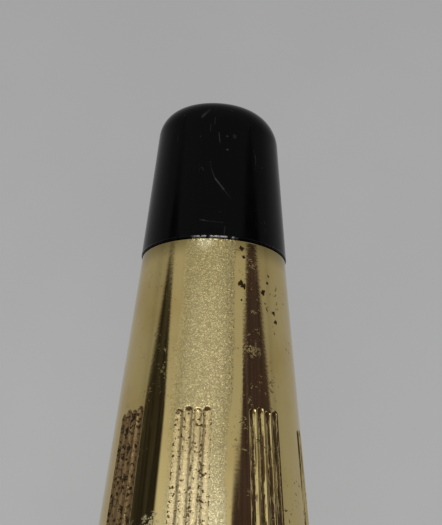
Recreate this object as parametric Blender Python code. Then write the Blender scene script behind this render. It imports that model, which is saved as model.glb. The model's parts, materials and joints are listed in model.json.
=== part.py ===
"""A slim twist-action ballpoint pen that lies on its clip, built as the pieces that it comes apart into.

The pen's own axis is local Z. It runs from the writing end at 0 to the conical top, and local +Y is the clip side.
Turning the cap turns the cam tube, whose helical slot drives the follower pin, the carrier and the refill forward.
"""

import math

import bmesh
import bpy
from mathutils import Matrix, Vector

MM = 0.001

# Outside: lengths along the axis
NOSE_LENGTH = 11.0 * MM
BARREL_LENGTH = 53.0 * MM
BARREL_TAPER_LENGTH = 9.0 * MM
RING_LENGTH = 1.9 * MM
CAP_LENGTH = 61.4 * MM
CAP_TAPER_LENGTH = 11.95 * MM
CROWN_HEIGHT = 5.55 * MM

# Outside: radii and walls
BODY_RADIUS = 3.9 * MM
NOSE_TIP_RADIUS = 1.65 * MM
NOSE_BACK_RADIUS = 3.4 * MM
RING_RADIUS = 4.15 * MM
CAP_RIM_RADIUS = 2.53 * MM
CROWN_BASE_RADIUS = 2.57 * MM
CROWN_SIDE_SLOPE = 0.1
CROWN_CORNER_RADIUS = 1.18 * MM
CROWN_BASE_ROUND = 0.08 * MM
SHELL_WALL = 0.4 * MM
EDGE_BREAK = 0.12 * MM

# Flute panels, cut along the cap and the barrel
PANELS = 8
FLUTES_PER_PANEL = 4
FLUTE_PITCH = math.radians(5.6)
FLUTE_TURN = math.radians(13.7)
FLUTE_DEPTH = 0.08 * MM
FLUTE_RUN_OUT = 0.25 * MM
FLUTES_BELOW_RIM = 6.35 * MM
PLAIN_BAND = 2.2 * MM

# Clip
CLIP_LENGTH = 37.0 * MM
CLIP_ROOT_WIDTH = 3.2 * MM
CLIP_TIP_WIDTH = 2.2 * MM
CLIP_THICKNESS = 0.7 * MM
CLIP_ROOT_GAP = 1.2 * MM
CLIP_BELOW_TAPER = 4.5 * MM
CLIP_HEAD_LENGTH = 2.0 * MM
CLIP_SHOULDER_LENGTH = 4.2 * MM
STRAP_STEP = 0.1 * MM
STRAP_RELIEF = 0.15 * MM
BUTTON_RADIUS = 0.8 * MM
BUTTON_FROM_TIP = 1.5 * MM
CLIP_CHAMFER = 0.15 * MM
TANG_WIDTH = 1.2 * MM
TANG_LENGTH = 1.8 * MM
FOOT_THICKNESS = 0.55 * MM
FOOT_BELOW_TAPER = 1.0 * MM
CLIP_PLAY = 0.13 * MM

# Fits
SEAT_GAP = 0.05 * MM
RUNNING_GAP = 0.06 * MM
AXIAL_GAP = 0.05 * MM

# Twist mechanism
TRAVEL = 5.0 * MM
HALF_TURN = math.pi
LINER_WALL = 0.25 * MM
CAM_WALL = 0.4 * MM
SLEEVE_WALL = 0.4 * MM
CAM_LENGTH = 19.3 * MM
COLLAR_LENGTH = 4.0 * MM
WASHER_THICKNESS = 0.5 * MM
FRICTION_RING_SECTION = 0.2 * MM
CUP_SKIRT_LENGTH = 1.2 * MM
CUP_TOP_THICKNESS = 0.5 * MM
CUP_VENT_RADIUS = 0.6 * MM
BUSH_LENGTH = 9.0 * MM
SLEEVE_THREAD_LENGTH = 8.5 * MM
PIN_RADIUS = 0.45 * MM
PIN_BELOW_CAM_END = 4.0 * MM
PIN_BELOW_CARRIER_END = 2.0 * MM
PIN_ROOT_RADIUS = 1.0 * MM
SLOT_RUN_OVER = 1.3
CARRIER_LENGTH = 10.0 * MM
CARRIER_SOCKET_DEPTH = 6.0 * MM
LINER_PAST_CUP = 1.0 * MM

# Refill
REFILL_RADIUS = 1.55 * MM
REFILL_WALL = 0.3 * MM
PLUG_FLANGE_LENGTH = 1.8 * MM
PLUG_SPIGOT_LENGTH = 4.0 * MM
PLUG_STEM_LENGTH = 5.5 * MM
INK_LENGTH = 46.0 * MM
POINT_RADIUS = 1.15 * MM
POINT_CONE_LENGTH = 2.6 * MM
POINT_LENGTH = 8.0 * MM
POINT_SHOULDER_LENGTH = 0.95 * MM
POINT_SPIGOT_LENGTH = 3.0 * MM
POINT_TIP_WALL = 0.14 * MM
DUCT_RADIUS = 0.25 * MM
BALL_RADIUS = 0.5 * MM
BALL_SET_BACK = 1.6 * MM
BALL_PLAY = 0.06 * MM
BALL_LIP_SHARE = 0.54

# Nose
NOSE_SPIGOT_LENGTH = 4.0 * MM
NOSE_SPIGOT_WALL = 0.5 * MM
NOSE_SWELL = 0.5
NOZZLE_PLAY = 0.1 * MM
NOSE_CAVITY_PLAY = 0.25 * MM

# Cap end
TOP_BUSH_LENGTH = 6.2 * MM
STUD_RADIUS = 1.15 * MM
STUD_HEAD_RADIUS = 1.9 * MM
STUD_HEAD_LENGTH = 1.2 * MM
STUD_REACH = 2.9 * MM
STUD_SLOT_WIDTH = 0.5 * MM
STUD_SLOT_DEPTH = 0.5 * MM
CLIP_BUSH_WALL = 0.95 * MM
CLIP_BUSH_BELOW_TANG = 2.0 * MM
CLIP_BUSH_BELOW_TAPER = 0.3 * MM

# Facets
OUTER_SIDES = 40
INNER_SIDES = 24
SMALL_SIDES = 16
ARC_STEPS = 5
NOSE_STEPS = 4
CAM_SLOT_STEPS = 24
BASE_ROUND_STEPS = 3
RING_SECTION_STEPS = 8
CLIP_STEPS = 6
BUTTON_STEPS = 4
MERGE_DISTANCE = 1e-7
SMOOTH_ANGLE = math.radians(35)

# Stations along the axis, from the writing end
barrel_front = NOSE_LENGTH
belly = barrel_front + BARREL_TAPER_LENGTH
barrel_back = barrel_front + BARREL_LENGTH
ring_front = barrel_back + AXIAL_GAP
ring_back = ring_front + RING_LENGTH
cap_front = ring_back + 2 * AXIAL_GAP
cap_back = cap_front + CAP_LENGTH
cap_taper = cap_back - CAP_TAPER_LENGTH
crown_base = cap_back + AXIAL_GAP
crown_top = crown_base + CROWN_HEIGHT

collar_front = ring_back + AXIAL_GAP
collar_back = collar_front + COLLAR_LENGTH
cam_front = collar_back + WASHER_THICKNESS + 2 * AXIAL_GAP
cam_back = cam_front + CAM_LENGTH
sleeve_back = cam_back + CUP_SKIRT_LENGTH
cup_back = sleeve_back + AXIAL_GAP + CUP_TOP_THICKNESS
pin_height = cam_back - PIN_BELOW_CAM_END
carrier_back = pin_height + PIN_BELOW_CARRIER_END
carrier_front = carrier_back - CARRIER_LENGTH
flange_back = carrier_front - AXIAL_GAP
flange_front = flange_back - PLUG_FLANGE_LENGTH
tube_back = flange_front - AXIAL_GAP

ball_height = BALL_SET_BACK
shoulder_front = ball_height + POINT_LENGTH
shoulder_back = shoulder_front + POINT_SHOULDER_LENGTH
tube_front = shoulder_back + AXIAL_GAP

clip_height = cap_taper - CLIP_BELOW_TAPER
clip_head = clip_height + CLIP_HEAD_LENGTH
clip_tip = clip_head - CLIP_LENGTH
clip_shoulder = clip_head - CLIP_SHOULDER_LENGTH
button_height = clip_tip + BUTTON_FROM_TIP
foot_end = cap_taper - FOOT_BELOW_TAPER

# Radii of the nested sleeves, from the shells inwards
bore = BODY_RADIUS - SHELL_WALL
liner_outer = bore - SEAT_GAP
liner_bore = liner_outer - LINER_WALL
cam_outer = liner_bore - SEAT_GAP
cam_bore = cam_outer - CAM_WALL
sleeve_outer = cam_bore - RUNNING_GAP
sleeve_bore = sleeve_outer - SLEEVE_WALL
collar_radius = liner_bore - RUNNING_GAP
carrier_radius = sleeve_bore - RUNNING_GAP
tube_bore = REFILL_RADIUS - REFILL_WALL
refill_spigot = tube_bore - SEAT_GAP
nose_spigot = NOSE_BACK_RADIUS - SHELL_WALL - SEAT_GAP
cap_slope = (BODY_RADIUS - CAP_RIM_RADIUS) / CAP_TAPER_LENGTH

# The outer face of the clip's root and the barrel's belly lie in one plane, which is the table.
clip_root_height = BODY_RADIUS + CLIP_ROOT_GAP + CLIP_THICKNESS
lean_slope = (clip_root_height - BODY_RADIUS) / (clip_height - belly)
lean = math.atan(lean_slope)

# Finishes: colour, roughness, metallic
GOLD = ((0.80, 0.63, 0.33, 1.0), 0.28, 1.0)
BLACK_GLOSS = ((0.008, 0.008, 0.009, 1.0), 0.12, 0.0)
BRASS = ((0.72, 0.55, 0.27, 1.0), 0.35, 1.0)
STEEL = ((0.60, 0.60, 0.62, 1.0), 0.30, 1.0)
NYLON = ((0.75, 0.73, 0.66, 1.0), 0.50, 0.0)
RUBBER = ((0.02, 0.02, 0.02, 1.0), 0.70, 0.0)
INK = ((0.01, 0.01, 0.05, 1.0), 0.20, 0.0)


def clear_scene():
    for item in list(bpy.data.objects):
        bpy.data.objects.remove(item, do_unlink=True)


def add_empty(name, parent=None, location=(0.0, 0.0, 0.0)):
    """A frame that pieces hang on."""
    frame = bpy.data.objects.new(name, None)
    frame.parent = parent
    frame.location = location
    bpy.context.collection.objects.link(frame)
    return frame


def new_material(name, colour, roughness, metallic):
    material = bpy.data.materials.new(name + "_finish")
    material.use_nodes = True
    shader = material.node_tree.nodes["Principled BSDF"]
    shader.inputs["Base Color"].default_value = colour
    shader.inputs["Roughness"].default_value = roughness
    shader.inputs["Metallic"].default_value = metallic
    return material


def add_object(name, solid, parent):
    mesh = bpy.data.meshes.new(name)
    solid.to_mesh(mesh)
    solid.free()
    mesh.shade_smooth()
    mesh.set_sharp_from_angle(angle=SMOOTH_ANGLE)
    item = bpy.data.objects.new(name, mesh)
    item.parent = parent
    bpy.context.collection.objects.link(item)
    return item


def add_piece(name, solid, finish, parent):
    """One sub-part of the pen, with its own material."""
    piece = add_object(name, solid, parent)
    piece.data.materials.append(new_material(name, *finish))
    return piece


def combine(piece, operation, name, solid):
    """Cut a hidden tool out of a piece, or join it on."""
    tool = add_object(name, solid, piece.parent)
    tool.hide_render = True
    tool.display_type = "WIRE"
    change = piece.modifiers.new(name, "BOOLEAN")
    change.operation = operation
    change.solver = "EXACT"
    change.object = tool


def turned(outline, sides):
    """Spin a (radius, height) outline about the axis. One that starts on the axis ends on it, and others close."""
    solid = bmesh.new()
    corners = [solid.verts.new((0.0, radius, height)) for radius, height in outline]
    for start, end in zip(corners, corners[1:]):
        solid.edges.new((start, end))
    if outline[0][0] > 0:
        solid.edges.new((corners[-1], corners[0]))
    bmesh.ops.spin(
        solid,
        geom=solid.verts[:] + solid.edges[:],
        cent=(0.0, 0.0, 0.0),
        axis=(0.0, 0.0, 1.0),
        angle=2 * math.pi,
        steps=sides,
        use_merge=True,
    )
    bmesh.ops.remove_doubles(solid, verts=solid.verts[:], dist=MERGE_DISTANCE)
    bmesh.ops.recalc_face_normals(solid, faces=solid.faces[:])
    return solid


def tube_outline(inner, outer, front, back):
    """A plain tube with its outer edges broken."""
    return [
        (inner, front),
        (outer - EDGE_BREAK, front),
        (outer, front + EDGE_BREAK),
        (outer, back - EDGE_BREAK),
        (outer - EDGE_BREAK, back),
        (inner, back),
    ]


def arc(centre_radius, centre_height, size, start, end, steps=ARC_STEPS):
    """Points of a round stretch of an outline, from one angle to another."""
    angles = [start + (end - start) * step / steps for step in range(steps + 1)]
    return [(centre_radius + size * math.cos(a), centre_height + size * math.sin(a)) for a in angles]


def loft(rings, closed):
    """Skin rings of points that have equal counts. An open run gets flat ends, and a closed one is a hollow shell."""
    solid = bmesh.new()
    loops = [[solid.verts.new(point) for point in ring] for ring in rings]
    pairs = list(zip(loops, loops[1:]))
    if closed:
        pairs.append((loops[-1], loops[0]))
    else:
        solid.faces.new(loops[0])
        solid.faces.new(loops[-1])
    for lower, upper in pairs:
        for i in range(len(lower)):
            solid.faces.new((lower[i - 1], lower[i], upper[i], upper[i - 1]))
    bmesh.ops.recalc_face_normals(solid, faces=solid.faces[:])
    return solid


def box(low, high):
    solid = bmesh.new()
    bmesh.ops.create_cube(solid, size=1.0)
    low = Vector(low)
    high = Vector(high)
    bmesh.ops.scale(solid, vec=high - low, verts=solid.verts[:])
    bmesh.ops.translate(solid, vec=(low + high) / 2, verts=solid.verts[:])
    return solid


def along_x(solid, height):
    """Lay a solid that was turned about Z along +X, at a height on the pen's axis."""
    bmesh.ops.rotate(solid, cent=(0.0, 0.0, 0.0), matrix=Matrix.Rotation(math.pi / 2, 3, "Y"), verts=solid.verts[:])
    bmesh.ops.translate(solid, vec=(0.0, 0.0, height), verts=solid.verts[:])
    return solid


def flute_ring(radius, depth, height):
    """One cross-section with eight panels of flutes. The pattern is turned a little from the clip."""
    panel = 2 * math.pi / PANELS
    plain = panel - FLUTES_PER_PANEL * FLUTE_PITCH
    points = []
    for number in range(PANELS):
        centre = math.pi / 2 + FLUTE_TURN + (number + 0.5) * panel
        for half in range(-FLUTES_PER_PANEL, FLUTES_PER_PANEL + 1):
            in_groove = (half + FLUTES_PER_PANEL) % 2
            points.append((centre + half * FLUTE_PITCH / 2, radius - depth * in_groove))
        plain_start = centre + FLUTES_PER_PANEL * FLUTE_PITCH / 2
        points.append((plain_start + plain / 2, radius))
    return [Vector((size * math.cos(turn), size * math.sin(turn), height)) for turn, size in points]


def fluted_shell(outside, inside):
    """A shell from its outer stations, front to back, and its inner ones, back to front."""
    rings = [flute_ring(radius, depth, height) for radius, depth, height in outside]
    rings += [flute_ring(radius, 0.0, height) for radius, height in inside]
    return loft(rings, closed=True)


def cap_radius(height):
    """The cap's outer radius on its tapered end."""
    return CAP_RIM_RADIUS + cap_slope * (cap_back - height)


def floor_line(height):
    """Distance from the axis to the table, on the clip side."""
    return BODY_RADIUS + (height - belly) * lean_slope


def make_cap_shell():
    flute_start = cap_front + PLAIN_BAND
    flute_end = cap_back - FLUTES_BELOW_RIM
    full_depth_end = flute_end - FLUTE_RUN_OUT
    outside = [
        (BODY_RADIUS - EDGE_BREAK, 0.0, cap_front),
        (BODY_RADIUS, 0.0, cap_front + EDGE_BREAK),
        (BODY_RADIUS, 0.0, flute_start),
        (BODY_RADIUS, FLUTE_DEPTH, flute_start + FLUTE_RUN_OUT),
        (BODY_RADIUS, FLUTE_DEPTH, cap_taper),
        (cap_radius(full_depth_end), FLUTE_DEPTH, full_depth_end),
        (cap_radius(flute_end), 0.0, flute_end),
        (CAP_RIM_RADIUS, 0.0, cap_back),
    ]
    inside = [(CAP_RIM_RADIUS - SHELL_WALL, cap_back), (bore, cap_taper), (bore, cap_front)]
    return fluted_shell(outside, inside)


def make_clip_slot():
    half_width = TANG_WIDTH / 2 + CLIP_PLAY
    half_length = TANG_LENGTH / 2 + CLIP_PLAY
    low = (-half_width, bore - SHELL_WALL, clip_height - half_length)
    high = (half_width, BODY_RADIUS + SHELL_WALL, clip_height + half_length)
    return box(low, high)


def make_barrel_shell():
    flute_start = belly + PLAIN_BAND
    flute_end = barrel_back - PLAIN_BAND
    outside = [
        (NOSE_BACK_RADIUS, 0.0, barrel_front),
        (BODY_RADIUS, 0.0, belly),
        (BODY_RADIUS, 0.0, flute_start),
        (BODY_RADIUS, FLUTE_DEPTH, flute_start + FLUTE_RUN_OUT),
        (BODY_RADIUS, FLUTE_DEPTH, flute_end - FLUTE_RUN_OUT),
        (BODY_RADIUS, 0.0, flute_end),
        (BODY_RADIUS, 0.0, barrel_back - EDGE_BREAK),
        (BODY_RADIUS - EDGE_BREAK, 0.0, barrel_back),
    ]
    seat = nose_spigot + SEAT_GAP
    seat_end = barrel_front + NOSE_SPIGOT_LENGTH + AXIAL_GAP
    inside = [(bore, barrel_back), (bore, belly), (seat, seat_end), (seat, barrel_front)]
    return fluted_shell(outside, inside)


def make_nose_cone():
    nozzle = POINT_RADIUS + NOZZLE_PLAY
    cavity = REFILL_RADIUS + NOSE_CAVITY_PLAY
    shoulder_stop = shoulder_front - TRAVEL
    nose_back = NOSE_LENGTH - AXIAL_GAP
    spigot_end = NOSE_LENGTH + NOSE_SPIGOT_LENGTH
    outline = [(nozzle, 0.0), (NOSE_TIP_RADIUS - EDGE_BREAK, 0.0)]
    for step in range(NOSE_STEPS + 1):
        share = step / NOSE_STEPS
        swelling = share + NOSE_SWELL * share * (1 - share)
        radius = NOSE_TIP_RADIUS + (NOSE_BACK_RADIUS - NOSE_TIP_RADIUS) * swelling
        outline.append((radius, EDGE_BREAK + (nose_back - EDGE_BREAK) * share))
    outline += [
        (nose_spigot, nose_back),
        (nose_spigot, spigot_end),
        (nose_spigot - NOSE_SPIGOT_WALL, spigot_end),
        (cavity, shoulder_stop - NOSE_CAVITY_PLAY),
        (nozzle, shoulder_stop - NOSE_CAVITY_PLAY - (cavity - nozzle)),
    ]
    return turned(outline, OUTER_SIDES)


def make_centre_ring():
    """Two half-round beads on a band."""
    bead = RING_LENGTH / 4
    inner = sleeve_outer + SEAT_GAP
    outline = [(inner, ring_front)]
    for number in (0, 1):
        middle = ring_front + bead * (1 + 2 * number)
        outline += arc(RING_RADIUS - bead, middle, bead, -math.pi / 2, math.pi / 2)[number:]
    outline.append((inner, ring_back))
    return turned(outline, OUTER_SIDES)


def make_conical_top():
    """A black cone with a rounded shoulder and a nearly flat end, bored for its stud."""
    side = math.atan(CROWN_SIDE_SLOPE)
    corner_height = crown_top - CROWN_CORNER_RADIUS
    reach = CROWN_BASE_RADIUS * math.cos(side) + (crown_base - corner_height) * math.sin(side)
    corner_radius = (reach - CROWN_CORNER_RADIUS) / math.cos(side)
    socket = STUD_RADIUS + SEAT_GAP
    socket_end = crown_base + STUD_REACH + SEAT_GAP
    base_round = arc(
        CROWN_BASE_RADIUS - CROWN_BASE_ROUND,
        crown_base + CROWN_BASE_ROUND,
        CROWN_BASE_ROUND,
        -math.pi / 2,
        side,
        steps=BASE_ROUND_STEPS,
    )
    shoulder = arc(corner_radius, corner_height, CROWN_CORNER_RADIUS, side, math.pi / 2)
    bottom = [(0.0, socket_end), (socket, socket_end), (socket, crown_base)]
    return turned(bottom + base_round + shoulder + [(0.0, crown_top)], OUTER_SIDES)


def make_crown_stud():
    """The screw that pulls the cone and the top bush together."""
    head_back = cap_back - TOP_BUSH_LENGTH - AXIAL_GAP
    head_front = head_back - STUD_HEAD_LENGTH
    outline = [
        (0.0, head_front),
        (STUD_HEAD_RADIUS - EDGE_BREAK, head_front),
        (STUD_HEAD_RADIUS, head_front + EDGE_BREAK),
        (STUD_HEAD_RADIUS, head_back),
        (STUD_RADIUS, head_back),
        (STUD_RADIUS, crown_base + STUD_REACH - EDGE_BREAK),
        (STUD_RADIUS - EDGE_BREAK, crown_base + STUD_REACH),
        (0.0, crown_base + STUD_REACH),
    ]
    return turned(outline, SMALL_SIDES)


def make_stud_slot():
    head_front = cap_back - TOP_BUSH_LENGTH - AXIAL_GAP - STUD_HEAD_LENGTH
    low = (-STUD_SLOT_WIDTH / 2, -2 * STUD_HEAD_RADIUS, head_front - STUD_SLOT_DEPTH)
    high = (STUD_SLOT_WIDTH / 2, 2 * STUD_HEAD_RADIUS, head_front + STUD_SLOT_DEPTH)
    return box(low, high)


def make_top_bush():
    """A plug that follows the inside of the cap's taper."""
    front = cap_back - TOP_BUSH_LENGTH
    inner = STUD_RADIUS + SEAT_GAP
    inset = SHELL_WALL + SEAT_GAP
    outline = [
        (inner, front),
        (cap_radius(front) - inset, front),
        (cap_radius(cap_back) - inset, cap_back),
        (inner, cap_back),
    ]
    return turned(outline, INNER_SIDES)


def make_clip_bush():
    front = clip_height - TANG_LENGTH / 2 - CLIP_BUSH_BELOW_TANG
    back = cap_taper - CLIP_BUSH_BELOW_TAPER
    return turned(tube_outline(liner_outer - CLIP_BUSH_WALL, liner_outer, front, back), INNER_SIDES)


def make_clip_bush_notch():
    half_width = TANG_WIDTH / 2 + CLIP_PLAY
    low = (-half_width, 0.0, clip_height - TANG_LENGTH / 2 - CLIP_PLAY)
    high = (half_width, BODY_RADIUS, cap_taper)
    return box(low, high)


def clip_half_width(height):
    """The clip narrows from its head to its round tip."""
    tip_radius = CLIP_TIP_WIDTH / 2
    round_end = clip_tip + tip_radius
    if height < round_end:
        return math.sqrt(tip_radius**2 - (round_end - height) ** 2)
    along = (height - round_end) / (clip_head - round_end)
    return tip_radius + (CLIP_ROOT_WIDTH - CLIP_TIP_WIDTH) / 2 * along


def clip_section(height, half_width, inner, outer):
    """The clip's cross-section at one height, with broken edges on its outer face."""
    edge = outer - CLIP_CHAMFER * min(1.0, 2 * half_width / CLIP_TIP_WIDTH)
    flat = half_width - (outer - edge)
    corners = [
        (-half_width, inner),
        (half_width, inner),
        (half_width, edge),
        (flat, outer),
        (-flat, outer),
        (-half_width, edge),
    ]
    return [Vector((x, y, height)) for x, y in corners]


def make_clip():
    """The springy strap, with a round tip."""
    tip_radius = CLIP_TIP_WIDTH / 2
    turns = [math.pi / 2 * (step + 0.5) / CLIP_STEPS for step in range(CLIP_STEPS)]
    heights = [clip_tip + tip_radius * (1 - math.cos(turn)) for turn in turns]
    heights += [clip_tip + tip_radius, clip_shoulder - AXIAL_GAP]
    rings = []
    for height in heights:
        from_root = (clip_shoulder - height) / (clip_shoulder - clip_tip)
        outer = floor_line(height) - STRAP_STEP - STRAP_RELIEF * from_root
        inner = floor_line(height) - CLIP_THICKNESS
        rings.append(clip_section(height, clip_half_width(height), inner, outer))
    return loft(rings, closed=False)


def make_clip_button():
    """The domed button under the strap's tip, which grips against the cap."""
    top = floor_line(button_height - BUTTON_RADIUS) - CLIP_THICKNESS - SEAT_GAP
    rise = top - BODY_RADIUS - SEAT_GAP
    dome_radius = (BUTTON_RADIUS**2 + rise**2) / (2 * rise)
    half_angle = math.asin(BUTTON_RADIUS / dome_radius)
    outline = [(0.0, 0.0)]
    for step in range(BUTTON_STEPS):
        turn = half_angle * (1 - step / BUTTON_STEPS)
        outline.append((dome_radius * math.sin(turn), rise - dome_radius * (1 - math.cos(turn))))
    outline.append((0.0, rise))
    solid = turned(outline, SMALL_SIDES)
    bmesh.ops.rotate(solid, cent=(0.0, 0.0, 0.0), matrix=Matrix.Rotation(math.pi / 2, 3, "X"), verts=solid.verts[:])
    bmesh.ops.translate(solid, vec=(0.0, top, button_height), verts=solid.verts[:])
    return solid


def make_clip_root():
    """The clip's shoulder, whose outer face lies on the table."""
    edge_start = clip_head - 2 * EDGE_BREAK
    stations = [
        (clip_shoulder, clip_half_width(clip_shoulder)),
        (edge_start, clip_half_width(edge_start)),
        (clip_head, clip_half_width(clip_head) - EDGE_BREAK),
    ]
    rings = []
    for height, half_width in stations:
        outer = floor_line(height)
        rings.append(clip_section(height, half_width, outer - CLIP_THICKNESS, outer))
    return loft(rings, closed=False)


def make_clip_tang():
    """The bent end of the clip: it passes through the cap's wall and turns up inside it."""
    half = TANG_WIDTH / 2
    front = clip_height - TANG_LENGTH / 2
    back = clip_height + TANG_LENGTH / 2
    foot_top = bore - CLIP_PLAY - SEAT_GAP
    foot_bottom = foot_top - FOOT_THICKNESS
    strap = floor_line(front) - CLIP_THICKNESS / 2
    side = [
        (foot_bottom, front),
        (strap, front),
        (strap, back),
        (foot_top, back),
        (foot_top, foot_end),
        (foot_bottom, foot_end),
    ]
    rings = [[Vector((x, y, z)) for y, z in side] for x in (-half, half)]
    return loft(rings, closed=False)


def make_cap_liner():
    return turned(tube_outline(liner_bore, liner_outer, cap_front + EDGE_BREAK, cup_back + LINER_PAST_CUP), INNER_SIDES)


def make_cam_tube():
    return turned(tube_outline(cam_bore, cam_outer, cam_front, cam_back), INNER_SIDES)


def make_cam_slot():
    """A helical bar: half a turn of it is one full travel of the follower pin."""
    half_width = PIN_RADIUS + RUNNING_GAP
    lead = TRAVEL / HALF_TURN
    half_height = half_width * math.hypot(1.0, lead / cam_bore)
    run_over = SLOT_RUN_OVER * half_width / cam_bore
    rings = []
    for step in range(CAM_SLOT_STEPS + 1):
        turn = -run_over + (HALF_TURN + 2 * run_over) * step / CAM_SLOT_STEPS
        height = pin_height - lead * turn
        direction = Vector((math.cos(turn), math.sin(turn), 0.0))
        ring = []
        for radius, side in ((sleeve_bore, -1), (bore, -1), (bore, 1), (sleeve_bore, 1)):
            ring.append(direction * radius + Vector((0.0, 0.0, height + side * half_height)))
        rings.append(ring)
    return loft(rings, closed=False)


def make_guide_sleeve():
    """The fixed sleeve: a threaded end for the barrel, a grooved collar, and a long tube with a straight slot."""
    front = barrel_back - SLEEVE_THREAD_LENGTH
    groove_middle = (collar_front + collar_back) / 2
    groove_half = FRICTION_RING_SECTION + AXIAL_GAP
    groove_radius = liner_bore - 2 * (FRICTION_RING_SECTION + SEAT_GAP)
    outline = [
        (sleeve_bore, front),
        (sleeve_outer - EDGE_BREAK, front),
        (sleeve_outer, front + EDGE_BREAK),
        (sleeve_outer, collar_front),
        (collar_radius, collar_front),
        (collar_radius, groove_middle - groove_half),
        (groove_radius, groove_middle - groove_half),
        (groove_radius, groove_middle + groove_half),
        (collar_radius, groove_middle + groove_half),
        (collar_radius, collar_back),
        (sleeve_outer, collar_back),
        (sleeve_outer, sleeve_back - EDGE_BREAK),
        (sleeve_outer - EDGE_BREAK, sleeve_back),
        (sleeve_bore, sleeve_back),
    ]
    return turned(outline, INNER_SIDES)


def make_guide_slot():
    half_width = PIN_RADIUS + RUNNING_GAP
    low = (0.0, -half_width, pin_height - TRAVEL - half_width)
    high = (BODY_RADIUS, half_width, pin_height + half_width)
    return box(low, high)


def make_friction_ring():
    middle = (collar_front + collar_back) / 2
    ring_radius = liner_bore - SEAT_GAP - FRICTION_RING_SECTION
    outline = arc(ring_radius, middle, FRICTION_RING_SECTION, 0.0, 2 * math.pi, steps=RING_SECTION_STEPS)[:-1]
    return turned(outline, INNER_SIDES)


def make_thrust_washer():
    front = collar_back + AXIAL_GAP
    return turned(tube_outline(cam_bore, collar_radius, front, front + WASHER_THICKNESS), INNER_SIDES)


def make_end_cup():
    """A cup pressed over the sleeve's end, which keeps the cam tube on it."""
    skirt = sleeve_outer + SEAT_GAP
    top = sleeve_back + AXIAL_GAP
    outline = [
        (CUP_VENT_RADIUS, top),
        (skirt, top),
        (skirt, cam_back + AXIAL_GAP),
        (collar_radius, cam_back + AXIAL_GAP),
        (collar_radius, cup_back - EDGE_BREAK),
        (collar_radius - EDGE_BREAK, cup_back),
        (CUP_VENT_RADIUS, cup_back),
    ]
    return turned(outline, INNER_SIDES)


def make_carrier():
    """The piston that holds the refill's plug and carries the follower pin."""
    socket = refill_spigot + SEAT_GAP
    socket_end = carrier_front + CARRIER_SOCKET_DEPTH
    outline = [
        (0.0, socket_end),
        (socket, socket_end),
        (socket, carrier_front),
        (carrier_radius - EDGE_BREAK, carrier_front),
        (carrier_radius, carrier_front + EDGE_BREAK),
        (carrier_radius, carrier_back - EDGE_BREAK),
        (carrier_radius - EDGE_BREAK, carrier_back),
        (0.0, carrier_back),
    ]
    return turned(outline, INNER_SIDES)


def make_pin_hole():
    start = PIN_ROOT_RADIUS - SEAT_GAP
    radius = PIN_RADIUS + SEAT_GAP
    outline = [(0.0, start), (radius, start), (radius, BODY_RADIUS), (0.0, BODY_RADIUS)]
    return along_x(turned(outline, SMALL_SIDES), pin_height)


def make_follower_pin():
    end = cam_outer - SEAT_GAP
    outline = [
        (0.0, PIN_ROOT_RADIUS),
        (PIN_RADIUS - EDGE_BREAK, PIN_ROOT_RADIUS),
        (PIN_RADIUS, PIN_ROOT_RADIUS + EDGE_BREAK),
        (PIN_RADIUS, end - EDGE_BREAK),
        (PIN_RADIUS - EDGE_BREAK, end),
        (0.0, end),
    ]
    return along_x(turned(outline, SMALL_SIDES), pin_height)


def make_refill_plug():
    outline = [
        (0.0, tube_back - PLUG_SPIGOT_LENGTH),
        (refill_spigot - EDGE_BREAK, tube_back - PLUG_SPIGOT_LENGTH),
        (refill_spigot, tube_back - PLUG_SPIGOT_LENGTH + EDGE_BREAK),
        (refill_spigot, flange_front),
        (REFILL_RADIUS, flange_front),
        (REFILL_RADIUS, flange_back),
        (refill_spigot, flange_back),
        (refill_spigot, carrier_front + PLUG_STEM_LENGTH),
        (0.0, carrier_front + PLUG_STEM_LENGTH),
    ]
    return turned(outline, SMALL_SIDES)


def make_refill_tube():
    return turned(tube_outline(tube_bore, REFILL_RADIUS, tube_front, tube_back), SMALL_SIDES)


def make_ink_column():
    front = shoulder_back + POINT_SPIGOT_LENGTH + AXIAL_GAP
    outline = [(0.0, front), (refill_spigot, front), (refill_spigot, front + INK_LENGTH), (0.0, front + INK_LENGTH)]
    return turned(outline, SMALL_SIDES)


def make_refill_point():
    """The writing point: a socket whose lip closes round the ball, a cone, a shoulder and a spigot for the tube."""
    lip = ball_height - BALL_LIP_SHARE * BALL_RADIUS
    lip_radius = BALL_RADIUS * math.sqrt(1 - BALL_LIP_SHARE**2) + BALL_PLAY
    socket = BALL_RADIUS + BALL_PLAY
    socket_floor = ball_height + socket
    spigot_end = shoulder_back + POINT_SPIGOT_LENGTH
    shoulder = REFILL_RADIUS - SEAT_GAP
    outline = [
        (DUCT_RADIUS, spigot_end),
        (DUCT_RADIUS, socket_floor),
        (socket, socket_floor),
        (socket, ball_height),
        (lip_radius, lip),
        (lip_radius + POINT_TIP_WALL, lip),
        (POINT_RADIUS, lip + POINT_CONE_LENGTH),
        (POINT_RADIUS, shoulder_front),
        (shoulder, shoulder_front),
        (shoulder, shoulder_back),
        (refill_spigot, shoulder_back),
        (refill_spigot, spigot_end),
    ]
    return turned(outline, SMALL_SIDES)


def make_ball():
    solid = bmesh.new()
    bmesh.ops.create_uvsphere(solid, u_segments=SMALL_SIDES, v_segments=SMALL_SIDES // 2, radius=BALL_RADIUS)
    return solid


def make_barrel_bush():
    """The threaded bush in the barrel's end."""
    front = barrel_back - BUSH_LENGTH
    return turned(tube_outline(sleeve_outer + SEAT_GAP, liner_outer, front, barrel_back), INNER_SIDES)


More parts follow.
